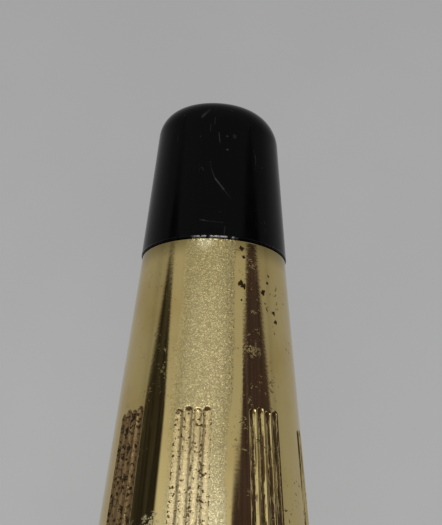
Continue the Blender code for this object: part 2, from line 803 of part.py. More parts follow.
def build_pen():
    clear_scene()
    middle = crown_top * math.cos(lean) / 2
    axis_height = BODY_RADIUS * math.cos(lean) - belly * math.sin(lean)
    pen_axis = add_empty("pen_axis", location=(0.0, -middle, axis_height))
    pen_axis.rotation_euler = (lean - math.pi / 2, 0.0, 0.0)
    cap_axis = add_empty("cap_axis", pen_axis)
    refill_axis = add_empty("refill_axis", pen_axis)

    add_piece("nose_cone", make_nose_cone(), GOLD, pen_axis)
    add_piece("barrel_shell", make_barrel_shell(), GOLD, pen_axis)
    add_piece("barrel_bush", make_barrel_bush(), BRASS, pen_axis)
    add_piece("centre_ring", make_centre_ring(), GOLD, pen_axis)
    sleeve = add_piece("guide_sleeve", make_guide_sleeve(), BRASS, pen_axis)
    combine(sleeve, "DIFFERENCE", "guide_slot", make_guide_slot())
    add_piece("friction_ring", make_friction_ring(), RUBBER, pen_axis)
    add_piece("thrust_washer", make_thrust_washer(), NYLON, pen_axis)
    add_piece("end_cup", make_end_cup(), BRASS, pen_axis)

    cap = add_piece("cap_shell", make_cap_shell(), GOLD, cap_axis)
    combine(cap, "DIFFERENCE", "clip_slot", make_clip_slot())
    add_piece("conical_top", make_conical_top(), BLACK_GLOSS, cap_axis)
    stud = add_piece("crown_stud", make_crown_stud(), STEEL, cap_axis)
    combine(stud, "DIFFERENCE", "stud_slot", make_stud_slot())
    add_piece("top_bush", make_top_bush(), BRASS, cap_axis)
    clip_bush = add_piece("clip_bush", make_clip_bush(), BRASS, cap_axis)
    combine(clip_bush, "DIFFERENCE", "clip_bush_notch", make_clip_bush_notch())
    add_piece("cap_liner", make_cap_liner(), BRASS, cap_axis)
    cam = add_piece("cam_tube", make_cam_tube(), BRASS, cap_axis)
    combine(cam, "DIFFERENCE", "cam_slot", make_cam_slot())

    clip_root = add_piece("clip_root", make_clip_root(), GOLD, cap_axis)
    combine(clip_root, "UNION", "clip_tang", make_clip_tang())
    clip_hinge = Vector((0.0, floor_line(clip_shoulder) - CLIP_THICKNESS / 2, clip_shoulder))
    clip_frame = add_empty("clip_hinge", cap_axis, clip_hinge)
    for name, solid in (("clip", make_clip()), ("clip_button", make_clip_button())):
        bmesh.ops.translate(solid, vec=-clip_hinge, verts=solid.verts[:])
        add_piece(name, solid, GOLD, clip_frame)

    carrier = add_piece("carrier", make_carrier(), BRASS, refill_axis)
    combine(carrier, "DIFFERENCE", "pin_hole", make_pin_hole())
    add_piece("follower_pin", make_follower_pin(), STEEL, refill_axis)
    add_piece("refill_plug", make_refill_plug(), NYLON, refill_axis)
    add_piece("refill_tube", make_refill_tube(), BRASS, refill_axis)
    add_piece("ink_column", make_ink_column(), INK, refill_axis)
    add_piece("refill_point", make_refill_point(), BRASS, refill_axis)
    ball = add_piece("ball", make_ball(), STEEL, refill_axis)
    ball.location = (0.0, 0.0, ball_height)


build_pen()
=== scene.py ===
"""Looks for the twist-action ballpoint pen: fine shells, worn finishes, a floor, a room and a camera.

The pen's own axis is local Z, from the writing end at 0 to the conical top. Local +Y is the clip's
side, which lies down. A place's turn is its angle in radians round the axis from the top of the pen,
positive towards +X. Lengths are in millimetres until a piece is placed in the frame, which is in
metres, and colours are linear.
"""

import json
import math

import bmesh
import bpy
import numpy as np
from mathutils import Matrix, Vector

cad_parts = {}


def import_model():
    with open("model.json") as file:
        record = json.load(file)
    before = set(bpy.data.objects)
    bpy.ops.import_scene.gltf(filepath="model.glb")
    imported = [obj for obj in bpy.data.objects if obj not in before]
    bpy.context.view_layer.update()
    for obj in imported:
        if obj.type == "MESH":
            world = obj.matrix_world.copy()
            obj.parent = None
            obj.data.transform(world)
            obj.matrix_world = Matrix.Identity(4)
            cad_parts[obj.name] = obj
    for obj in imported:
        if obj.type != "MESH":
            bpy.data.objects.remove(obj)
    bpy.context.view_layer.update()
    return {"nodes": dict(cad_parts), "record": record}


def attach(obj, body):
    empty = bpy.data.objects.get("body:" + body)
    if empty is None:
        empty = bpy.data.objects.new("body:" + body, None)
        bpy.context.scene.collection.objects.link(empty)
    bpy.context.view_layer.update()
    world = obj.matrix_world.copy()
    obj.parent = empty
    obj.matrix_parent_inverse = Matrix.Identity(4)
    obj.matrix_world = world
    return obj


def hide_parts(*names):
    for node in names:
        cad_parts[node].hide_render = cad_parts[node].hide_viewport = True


MM = 0.001

# Heights along the pen
NOSE_LENGTH = 11.0
BELLY = 20.0
BARREL_BACK = 64.0
RING_FRONT = 64.05
RING_BACK = 65.95
CAP_FRONT = 66.05
CAP_TAPER = 115.5
CAP_BACK = 127.5
CROWN_BASE = 127.52
CROWN_TOP = 133.05

# Outer shells
BODY_RADIUS = 3.9
SKIN_RADIUS = 3.898
WALL = 0.4
EDGE_ROUND = 0.06
RIM_ROUND = 0.03
GUARD = 0.02
SHARP_ANGLE = math.radians(50)
NOSE_TIP_RADIUS = 1.65
NOSE_TIP_ROUND = 0.12
NOSE_TIP_ARC_END = -0.3
NOSE_BACK_RADIUS = 3.4
NOSE_SWELL = 0.5
NOSE_BORE = 1.25
NOSE_BORE_END = 3.8
NOSE_CAVITY = 1.8
NOSE_CAVITY_FRONT = 4.35
NOSE_SPIGOT = 2.95
NOSE_SPIGOT_WALL = 0.5
NOSE_SPIGOT_LENGTH = 4.0
RING_RADIUS = 4.12
RING_BORE = 2.74
CAP_RIM_RADIUS = 2.53
CROWN_BASE_RADIUS = 2.57
CROWN_SIDE_SLOPE = 0.1
CROWN_BASE_ROUND = 0.06
CROWN_BORE = 1.2
CROWN_BORE_DEPTH = 2.95
CROWN_CORNER = 1.18
CROWN_CORNER_WEAR = 0.2
CROWN_WEAR_SIDE = math.radians(40)
CROWN_GUARD_SHARE = 0.01
CROWN_TOP_SHARES = (0.75, 0.5, 0.25, 0.0)
AXIS_GAP = 0.01

# Flutes
PANELS = 8
FLUTES_PER_PANEL = 4
FLUTE_PITCH = math.radians(5.6)
FLUTE_TURN = math.radians(13.7)
FLUTE_HALF_SHARE = 0.45
FLUTE_DEPTH = 0.06
FLUTES_BELOW_RIM = 6.36
FLUTE_LIFTS = (0.0, 0.1, 0.02, 0.09)
PANEL_LIFT = 0.17
FLUTE_RISE = 0.3
FLUTE_TIP = 0.35
TIP_DIRT = 0.6
TIP_DIRT_PER_LIFT = 4
PLAIN_BAND = 2.2
FLUTE_END = 0.6
FLUTE_GUARD = FLUTE_END / 20
STRIP_GUARD = math.radians(0.15)

# Clip
CLIP_HEIGHT = 111.0
CLIP_HEAD = 113.0
CLIP_SHOULDER = 108.8
CLIP_TIP = 76.0
CLIP_ROOT_WIDTH = 3.2
CLIP_TIP_WIDTH = 2.2
CLIP_THICKNESS = 0.7
CLIP_ROUND = 0.15
CLIP_FLAT_SHARE = 0.9
CLIP_ROOT_RADIUS = 5.8
CLIP_PLAY = 0.13
STRAP_STEP = 0.1
STRAP_RELIEF = 0.15
TANG_WIDTH = 1.2
TANG_LENGTH = 1.8
FOOT_INNER = 2.77
FOOT_OUTER = 3.32
FOOT_END = 114.5
BUTTON_RADIUS = 0.8
BUTTON_HEIGHT = 77.5
SEAT_GAP = 0.05

# The clip's rounded head: distance from its end, and how much narrower each side is there
CLIP_HEAD_ROUND = ((0.24, 0.0), (0.1, 0.03), (0.0, 0.12))

# Writing point
BALL_RADIUS = 0.5
BALL_HEIGHT = 1.6
BALL_PLAY = 0.06
BALL_LIP_SHARE = 0.54
BALL_ARC_END = 1.56
POINT_TIP_WALL = 0.14
POINT_RADIUS = 1.15
POINT_CONE_LENGTH = 2.6
POINT_SHOULDER = 1.5
POINT_SHOULDER_FRONT = 9.6
POINT_SHOULDER_BACK = 10.55
POINT_SPIGOT = 1.2
POINT_END = 13.55
DUCT_RADIUS = 0.25

# Counts of rows, columns and steps in the meshes
ROUND_SIDES = 192
POINT_SIDES = 64
BALL_SIDES = 48
BUTTON_SIDES = 48
COLUMNS_PER_FLUTE = 12
COLUMNS_PER_STRIP = 8
FLUTE_END_ROWS = 26
FLUTE_MIDDLE_ROWS = 24
PLAIN_ROWS = 4
CAP_TAPER_ROWS = 14
CAP_RIM_ROWS = 16
BARREL_TAPER_ROWS = 8
EDGE_STEPS = 4
RIM_STEPS = 5
NOSE_TIP_STEPS = 5
NOSE_STEPS = 24
BEAD_STEPS = 12
CROWN_FOOT_STEPS = 8
CROWN_SIDE_STEPS = 12
CROWN_CORNER_STEPS = 24
CLIP_ROUND_STEPS = 5
CLIP_TIP_STEPS = 20
STRAP_STEPS = 6
BUTTON_RINGS = 13
BALL_STEPS = 24

# Camera, fitted to the outline of the cap's end in the photograph. What it sees is in metres.
PHOTO_HEIGHT = 525
FOCAL_PIXELS = 3095.9
SENSOR = 36.0
NEAREST_SEEN = 0.005
FARTHEST_SEEN = 20.0
JOINT_HEIGHT = 127.5
JOINT_FROM_CAMERA = Vector((-0.259, -0.037, 110.0))
AXIS_ROLL = math.radians(2.02)
AXIS_TILT = math.radians(18.8)

lean_slope = (CLIP_ROOT_RADIUS - BODY_RADIUS) / (CLIP_HEIGHT - BELLY)
lean = math.atan(lean_slope)
cap_slope = (SKIN_RADIUS - CAP_RIM_RADIUS) / (CAP_BACK - CAP_TAPER)
flute_top = CAP_BACK - FLUTES_BELOW_RIM
crown_side = math.atan(CROWN_SIDE_SLOPE)


def pen_place():
    """From the pen's own axes in millimetres to the frame in metres."""
    middle = CROWN_TOP * math.cos(lean) / 2
    height = BODY_RADIUS * math.cos(lean) - BELLY * math.sin(lean)
    place = Matrix.Translation((0.0, -middle, height)) @ Matrix.Rotation(lean - math.pi / 2, 4, "X")
    return Matrix.Scale(MM, 4) @ place


def floor_line(height):
    """Distance from the axis to the table on the clip's side."""
    return BODY_RADIUS + (height - BELLY) * lean_slope


def cap_radius(height):
    """The cap's outer radius, straight at first and then tapered."""
    return SKIN_RADIUS - cap_slope * max(0.0, height - CAP_TAPER)


# Meshes


def set_attribute(mesh, name, kind, field, values):
    """Keep a value at each point for the materials to read."""
    layer = mesh.attributes.new(name, kind, "POINT")
    layer.data.foreach_set(field, values.astype(np.float32).ravel())


def add_mesh(name, points, faces, depth, material, body, replaced, tip=None):
    """A smooth piece from points on the pen. It stands for one solid and rides on that solid's body."""
    place = np.array(pen_place())
    mesh = bpy.data.meshes.new(name)
    mesh.from_pydata((points @ place[:3, :3].T + place[:3, 3]).tolist(), [], faces)
    solid = bmesh.new()
    solid.from_mesh(mesh)
    bmesh.ops.recalc_face_normals(solid, faces=solid.faces[:])
    solid.to_mesh(mesh)
    solid.free()
    mesh.shade_smooth()
    mesh.set_sharp_from_angle(angle=SHARP_ANGLE)
    set_attribute(mesh, "pen", "FLOAT_VECTOR", "vector", points)
    set_attribute(mesh, "depth", "FLOAT", "value", depth)
    if tip is not None:
        set_attribute(mesh, "tip", "FLOAT", "value", tip)
    mesh.materials.append(material)
    piece = bpy.data.objects.new(name, mesh)
    bpy.context.scene.collection.objects.link(piece)
    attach(piece, body)
    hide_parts(replaced)
    return piece


def ring_faces(rows, columns, closed):
    """Quads between rings of equal counts. A closed run also joins its last ring to its first."""
    faces = []
    for low in range(rows if closed else rows - 1):
        high = (low + 1) % rows
        for column in range(columns):
            after = (column + 1) % columns
            corners = ((low, column), (low, after), (high, after), (high, column))
            faces.append(tuple(row * columns + place for row, place in corners))
    return faces


def turned(name, outline_at, material, body, replaced, sides=ROUND_SIDES):
    """Turn a closed (radius, height) outline about the axis. The outline may change with the angle."""
    angles = np.arange(sides) * 2 * math.pi / sides
    outlines = np.array([outline_at(angle) for angle in angles]).transpose(1, 0, 2)
    radius = outlines[..., 0]
    height = outlines[..., 1]
    points = np.stack([radius * np.cos(angles), radius * np.sin(angles), height], axis=-1)
    points = points.reshape(-1, 3)
    faces = ring_faces(len(outlines), sides, closed=True)
    return add_mesh(name, points, faces, np.zeros(len(points)), material, body, replaced)


def lofted(name, runs, material, body, replaced):
    """Closed bodies through runs of rings, with flat ends, in one piece."""
    points = []
    faces = []
    for rings in runs:
        start = len(points)
        columns = len(rings[0])
        for ring in rings:
            points += ring
        sides = ring_faces(len(rings), columns, closed=False)
        faces += [tuple(start + corner for corner in face) for face in sides]
        faces.append(tuple(range(start, start + columns)))
        faces.append(tuple(range(len(points) - columns, len(points))))
    return add_mesh(name, np.array(points), faces, np.zeros(len(points)), material, body, replaced)


def arc(centre_radius, centre_height, size, start, end, steps):
    """Points on a round, from one angle to another."""
    points = []
    for step in range(steps + 1):
        angle = start + (end - start) * step / steps
        points.append((centre_radius + size * math.cos(angle), centre_height + size * math.sin(angle)))
    return points


def between(start, end, count):
    """Evenly spaced values from start, short of end."""
    return [start + (end - start) * step / count for step in range(count)]


def flute_columns():
    """Angles round a fluted shell, each one's offset from its flute's middle, and its flute's lift."""
    panel = 2 * math.pi / PANELS
    group = FLUTES_PER_PANEL * FLUTE_PITCH
    angles = []
    offsets = []
    lifts = []
    for number in range(PANELS):
        start = math.pi / 2 + FLUTE_TURN + (number + 0.5) * panel - group / 2
        for column in range(FLUTES_PER_PANEL * COLUMNS_PER_FLUTE):
            angles.append(start + column / COLUMNS_PER_FLUTE * FLUTE_PITCH)
            offsets.append((column % COLUMNS_PER_FLUTE / COLUMNS_PER_FLUTE - 0.5) * FLUTE_PITCH)
            lifts.append(FLUTE_LIFTS[column // COLUMNS_PER_FLUTE] + PANEL_LIFT * ((number + 1) % 2))
        plain_start = start + group + STRIP_GUARD
        plain_end = start + panel - STRIP_GUARD
        strip = [start + group] + between(plain_start, plain_end, COLUMNS_PER_STRIP) + [plain_end]
        angles += strip
        offsets += [FLUTE_PITCH / 2] * len(strip)
        lifts += [0.0] * len(strip)
    return np.array(angles), np.array(offsets), np.array(lifts)


def fluted(name, outside, inside, flute_low, flute_high, slot, material, body, replaced):
    """A shell with round-ended flutes in its outer face, and with a slot where one is given."""
    angles, offsets, lifts = flute_columns()
    flute_ends = flute_high + lifts
    radius = np.array([point[0] for point in outside + inside])[:, None]
    height = np.array([point[1] for point in outside + inside])[:, None]
    outer = (np.arange(len(radius)) < len(outside))[:, None]
    half_width = FLUTE_HALF_SHARE * FLUTE_PITCH * radius
    above = np.maximum(0, height - flute_ends + half_width)
    below = np.maximum(0, flute_low + half_width - height)
    from_middle = ((offsets * radius) ** 2 + (above + below) ** 2) / half_width**2
    share = np.maximum(0, 1 - from_middle) * outer
    cut = radius - FLUTE_DEPTH * share
    points = np.stack([cut * np.cos(angles), cut * np.sin(angles), height + 0 * angles], axis=-1)
    faces = ring_faces(len(radius), len(angles), closed=True)
    if slot:
        faces = cut_slot(faces, angles, [float(h) for h in height[:, 0]], len(outside), *slot)
    near_end = np.clip((height - flute_ends) / FLUTE_TIP + 1, 0, 1)
    tip = near_end * (TIP_DIRT + TIP_DIRT_PER_LIFT * (lifts % PANEL_LIFT)) * outer
    return add_mesh(name, points.reshape(-1, 3), faces, share, material, body, replaced, tip)


def cut_slot(faces, angles, heights, outside_rows, low, high, half_angle):
    """Open a slot through both faces of a shell on the clip's side, and give it walls."""
    columns = len(angles)
    turns = (angles - math.pi / 2 + math.pi) % (2 * math.pi) - math.pi
    inside = np.nonzero(np.abs(turns) < half_angle)[0]
    first = int(inside.min()) - 1
    last = int(inside.max()) + 1
    outer_low = heights.index(low)
    outer_high = heights.index(high)
    inner_high = heights.index(high, outside_rows)
    inner_low = heights.index(low, outside_rows)
    open_rows = set(range(outer_low, outer_high)) | {inner_high}
    kept = [
        face
        for face in faces
        if not (face[0] // columns in open_rows and first <= face[0] % columns < last)
    ]
    for outer, inner in ((outer_low, inner_low), (outer_high, inner_high)):
        for column in range(first, last):
            corners = ((outer, column), (outer, column + 1), (inner, column + 1), (inner, column))
            kept.append(tuple(row * columns + place for row, place in corners))
    for column in (first, last):
        rows = list(range(outer_low, outer_high + 1)) + [inner_high, inner_low]
        kept.append(tuple(row * columns + column for row in rows))
    return kept


def flute_rows(low, high):
    """Heights for a run of flutes, close together at its ends, where the flutes run out."""
    rows = [low - FLUTE_GUARD] + between(low, low + FLUTE_END, FLUTE_END_ROWS)
    rows += between(low + FLUTE_END, high - FLUTE_END, FLUTE_MIDDLE_ROWS)
    return rows + between(high - FLUTE_END, high, FLUTE_END_ROWS) + [high, high + FLUTE_GUARD]


def make_cap(material):
    """The cap's shell, with a slot for the clip's tang."""
    first = CAP_FRONT + EDGE_ROUND
    last = CAP_BACK - RIM_ROUND
    low = CAP_FRONT + PLAIN_BAND
    high = flute_top + FLUTE_RISE
    slot_low = CLIP_HEIGHT - TANG_LENGTH / 2 - CLIP_PLAY
    slot_high = CLIP_HEIGHT + TANG_LENGTH / 2 + CLIP_PLAY
    slot_half_angle = math.asin((TANG_WIDTH / 2 + CLIP_PLAY) / BODY_RADIUS)
    heights = [first + GUARD] + between(first, low - FLUTE_END, PLAIN_ROWS)[1:]
    heights += flute_rows(low, high) + [slot_low, slot_high]
    heights += between(CAP_TAPER, high - FLUTE_END, CAP_TAPER_ROWS)
    heights += between(high + FLUTE_RISE, last, CAP_RIM_ROWS) + [last - GUARD]
    outside = arc(SKIN_RADIUS - EDGE_ROUND, first, EDGE_ROUND, -math.pi / 2, 0, EDGE_STEPS)
    outside += [(cap_radius(height), height) for height in sorted(heights)]
    rim_start = math.atan(cap_slope)
    rim_centre = CAP_RIM_RADIUS + RIM_ROUND * (cap_slope - 1 / math.cos(rim_start))
    outside += arc(rim_centre, last, RIM_ROUND, rim_start, math.pi / 2, RIM_STEPS)
    bore = BODY_RADIUS - WALL
    inside = [(CAP_RIM_RADIUS - WALL, CAP_BACK)]
    inside += [(bore, height) for height in (CAP_TAPER, slot_high, slot_low, CAP_FRONT)]
    slot = (slot_low, slot_high, slot_half_angle)
    return fluted("cap_skin", outside, inside, low, flute_top, slot, material, "cap", "cap_shell")


def make_barrel(material):
    """The barrel's shell, tapered towards the nose."""
    last = BARREL_BACK - EDGE_ROUND
    low = BELLY + PLAIN_BAND
    high = BARREL_BACK - PLAIN_BAND
    taper = (SKIN_RADIUS - NOSE_BACK_RADIUS) / (BELLY - NOSE_LENGTH)
    heights = between(NOSE_LENGTH, BELLY, BARREL_TAPER_ROWS)
    heights += between(BELLY, low - FLUTE_END, PLAIN_ROWS) + flute_rows(low, high)
    heights += between(high + FLUTE_END, last, PLAIN_ROWS) + [last - GUARD]
    outside = [(SKIN_RADIUS - taper * max(0.0, BELLY - height), height) for height in heights]
    outside += arc(SKIN_RADIUS - EDGE_ROUND, last, EDGE_ROUND, 0, math.pi / 2, EDGE_STEPS)
    bore = BODY_RADIUS - WALL
    front_bore = NOSE_BACK_RADIUS - WALL
    inside = [(bore, BARREL_BACK), (bore, BELLY), (front_bore, NOSE_LENGTH)]
    top = high - FLUTE_RISE
    return fluted("barrel_skin", outside, inside, low, top, None, material, "barrel", "barrel_shell")


def make_nose(material):
    """The writing end, with its bore and the spigot that goes into the barrel."""
    back = NOSE_LENGTH - SEAT_GAP
    spigot_end = NOSE_LENGTH + NOSE_SPIGOT_LENGTH
    tip_centre = NOSE_TIP_RADIUS - NOSE_TIP_ROUND
    tip_arc = (-math.pi / 2, NOSE_TIP_ARC_END, NOSE_TIP_STEPS)
    outline = [(NOSE_BORE, 0.0)]
    outline += arc(tip_centre, NOSE_TIP_ROUND, NOSE_TIP_ROUND, *tip_arc)
    for share in between(0.0, 1.0, NOSE_STEPS) + [1.0]:
        swelling = share + NOSE_SWELL * share * (1 - share)
        radius = NOSE_TIP_RADIUS + (NOSE_BACK_RADIUS - NOSE_TIP_RADIUS) * swelling
        outline.append((radius, NOSE_TIP_ROUND + (back - NOSE_TIP_ROUND) * share))
    outline += [(NOSE_SPIGOT, back), (NOSE_SPIGOT, spigot_end)]
    outline += [(NOSE_SPIGOT - NOSE_SPIGOT_WALL, spigot_end)]
    outline += [(NOSE_CAVITY, NOSE_CAVITY_FRONT), (NOSE_BORE, NOSE_BORE_END)]
    return turned("nose_skin", lambda angle: outline, material, "barrel", "nose_cone")


def make_ring(material):
    """The ring of two beads between cap and barrel."""
    bead = (RING_BACK - RING_FRONT) / 4
    outline = [(RING_BORE, RING_FRONT)]
    for number in (0, 1):
        middle = RING_FRONT + bead * (1 + 2 * number)
        outline += arc(RING_RADIUS - bead, middle, bead, -math.pi / 2, math.pi / 2, BEAD_STEPS)[number:]
    outline.append((RING_BORE, RING_BACK))
    return turned("ring_skin", lambda angle: outline, material, "barrel", "centre_ring")


def crown_outline(angle):
    """The cone's outline. Its shoulder is worn rounder on one side."""
    corner = CROWN_CORNER + CROWN_CORNER_WEAR * math.cos(angle - CROWN_WEAR_SIDE)
    corner_height = CROWN_TOP - corner
    reach = CROWN_BASE_RADIUS * math.cos(crown_side)
    reach += (CROWN_BASE - corner_height) * math.sin(crown_side)
    corner_radius = (reach - corner) / math.cos(crown_side)
    bore_end = CROWN_BASE + CROWN_BORE_DEPTH
    foot_radius = CROWN_BASE_RADIUS - CROWN_BASE_ROUND
    foot_height = CROWN_BASE + CROWN_BASE_ROUND
    foot_arc = (-math.pi / 2, crown_side, CROWN_FOOT_STEPS)
    foot = arc(foot_radius, foot_height, CROWN_BASE_ROUND, *foot_arc)
    shoulder = arc(corner_radius, corner_height, corner, crown_side, math.pi / 2, CROWN_CORNER_STEPS)
    outline = [(AXIS_GAP, bore_end), (CROWN_BORE, bore_end), (CROWN_BORE, CROWN_BASE)] + foot
    shares = between(0.0, 1.0, CROWN_SIDE_STEPS)[1:]
    for share in [CROWN_GUARD_SHARE] + shares + [1 - CROWN_GUARD_SHARE]:
        outline.append(tuple(low + (high - low) * share for low, high in zip(foot[-1], shoulder[0])))
    outline += shoulder
    return outline + [(corner_radius * share + AXIS_GAP, CROWN_TOP) for share in CROWN_TOP_SHARES]


def make_crown(material):
    """The black cone on the cap's end."""
    return turned("crown_skin", crown_outline, material, "cap", "conical_top")


def clip_half_width(height):
    """The clip narrows from its head to its round tip."""
    tip_radius = CLIP_TIP_WIDTH / 2
    round_end = CLIP_TIP + tip_radius
    if height < round_end:
        return math.sqrt(tip_radius**2 - (round_end - height) ** 2)
    widening = (CLIP_ROOT_WIDTH - CLIP_TIP_WIDTH) / 2
    return tip_radius + widening * (height - round_end) / (CLIP_HEAD - round_end)


def clip_ring(height, half_width, inner, outer):
    """The clip's cross-section at one height, with rounded edges on its outer face."""
    size = CLIP_ROUND * min(1.0, 2 * half_width / CLIP_TIP_WIDTH)
    right = arc(half_width - size, outer - size, size, 0.0, math.pi / 2, CLIP_ROUND_STEPS)
    right.append(((half_width - size) * CLIP_FLAT_SHARE, outer))
    left = [(-x, y) for x, y in reversed(right)]
    return [(x, y, height) for x, y in [(-half_width, inner), (half_width, inner)] + right + left]


def make_clip(material):
    """The clip's strap, which clears the table by a little more towards its tip."""
    tip_radius = CLIP_TIP_WIDTH / 2
    turns = [math.pi / 2 * (step + 0.5) / CLIP_TIP_STEPS for step in range(CLIP_TIP_STEPS)]
    heights = [CLIP_TIP + tip_radius * (1 - math.cos(turn)) for turn in turns]
    strap_end = CLIP_SHOULDER - SEAT_GAP
    heights += between(CLIP_TIP + tip_radius, strap_end, STRAP_STEPS) + [strap_end]
    rings = []
    for height in heights:
        from_root = (CLIP_SHOULDER - height) / (CLIP_SHOULDER - CLIP_TIP)
        table = floor_line(height)
        outer = table - STRAP_STEP - STRAP_RELIEF * from_root
        rings.append(clip_ring(height, clip_half_width(height), table - CLIP_THICKNESS, outer))
    return lofted("clip_strap", [rings], material, "clip", "clip")


def make_clip_root(material):
    """The clip's shoulder, and the tang that passes through the cap's wall and turns up inside it."""
    head = [(CLIP_HEAD - below, narrowing) for below, narrowing in CLIP_HEAD_ROUND]
    shoulder = []
    for height, narrowing in [(CLIP_SHOULDER, 0.0)] + head:
        table = floor_line(height)
        half_width = clip_half_width(height) - narrowing
        shoulder.append(clip_ring(height, half_width, table - CLIP_THICKNESS, table))
    front = CLIP_HEIGHT - TANG_LENGTH / 2
    back = CLIP_HEIGHT + TANG_LENGTH / 2
    side = [
        (FOOT_INNER, front),
        (floor_line(front) - CLIP_THICKNESS, front),
        (floor_line(back) - CLIP_THICKNESS, back),
        (FOOT_OUTER, back),
        (FOOT_OUTER, FOOT_END),
        (FOOT_INNER, FOOT_END),
    ]
    tang = [[(x, y, z) for y, z in side] for x in (-TANG_WIDTH / 2, TANG_WIDTH / 2)]
    return lofted("clip_shoulder", [shoulder, tang], material, "cap", "clip_root")


def make_clip_button(material):
    """The domed button under the strap's tip."""
    top = floor_line(BUTTON_HEIGHT - BUTTON_RADIUS) - CLIP_THICKNESS - SEAT_GAP
    rise = top - BODY_RADIUS - SEAT_GAP
    angles = between(0.0, 2 * math.pi, BUTTON_SIDES)
    rings = []
    for step in range(BUTTON_RINGS):
        turn = math.pi / 2 * step / (BUTTON_RINGS - 0.5)
        radius = BUTTON_RADIUS * math.cos(turn)
        y = top - rise * math.sin(turn)
        rings.append([(radius * math.cos(a), y, BUTTON_HEIGHT + radius * math.sin(a)) for a in angles])
    return lofted("clip_grip", [rings], material, "clip", "clip_button")


def make_point(material):
    """The refill's point, with the socket that holds the ball."""
    lip = BALL_HEIGHT - BALL_LIP_SHARE * BALL_RADIUS
    lip_radius = BALL_RADIUS * math.sqrt(1 - BALL_LIP_SHARE**2) + BALL_PLAY
    socket = BALL_RADIUS + BALL_PLAY
    outline = [
        (DUCT_RADIUS, POINT_END),
        (DUCT_RADIUS, BALL_HEIGHT + socket),
        (socket, BALL_HEIGHT + socket),
        (socket, BALL_HEIGHT),
        (lip_radius, lip),
        (lip_radius + POINT_TIP_WALL, lip),
        (POINT_RADIUS, lip + POINT_CONE_LENGTH),
        (POINT_RADIUS, POINT_SHOULDER_FRONT),
        (POINT_SHOULDER, POINT_SHOULDER_FRONT),
        (POINT_SHOULDER, POINT_SHOULDER_BACK),
        (POINT_SPIGOT, POINT_SHOULDER_BACK),
        (POINT_SPIGOT, POINT_END),
    ]
    return turned("writing_point", lambda angle: outline, material, "refill", "refill_point", POINT_SIDES)


def make_ball(material):
    """The writing ball, turned from an arc that ends just short of its poles."""
    outline = arc(0.0, BALL_HEIGHT, BALL_RADIUS, -BALL_ARC_END, BALL_ARC_END, BALL_STEPS)
    return turned("writing_ball", lambda angle: outline, material, "ball", "ball", BALL_SIDES)


# Materials

# A pattern is a noise: cells per millimetre, layers of detail, and how strong the finer layers are.
# A mask's edge is where it starts and where it ends, then its values there if they aren't 0 and 1.
SCRATCH_CORE = 0.3
NOISE_MIDDLE = 0.5
CELL_MIDDLE = (0.5, 0.5, 0.5)
STREAK_PATTERN = (1.0, 3.0, 0.6)


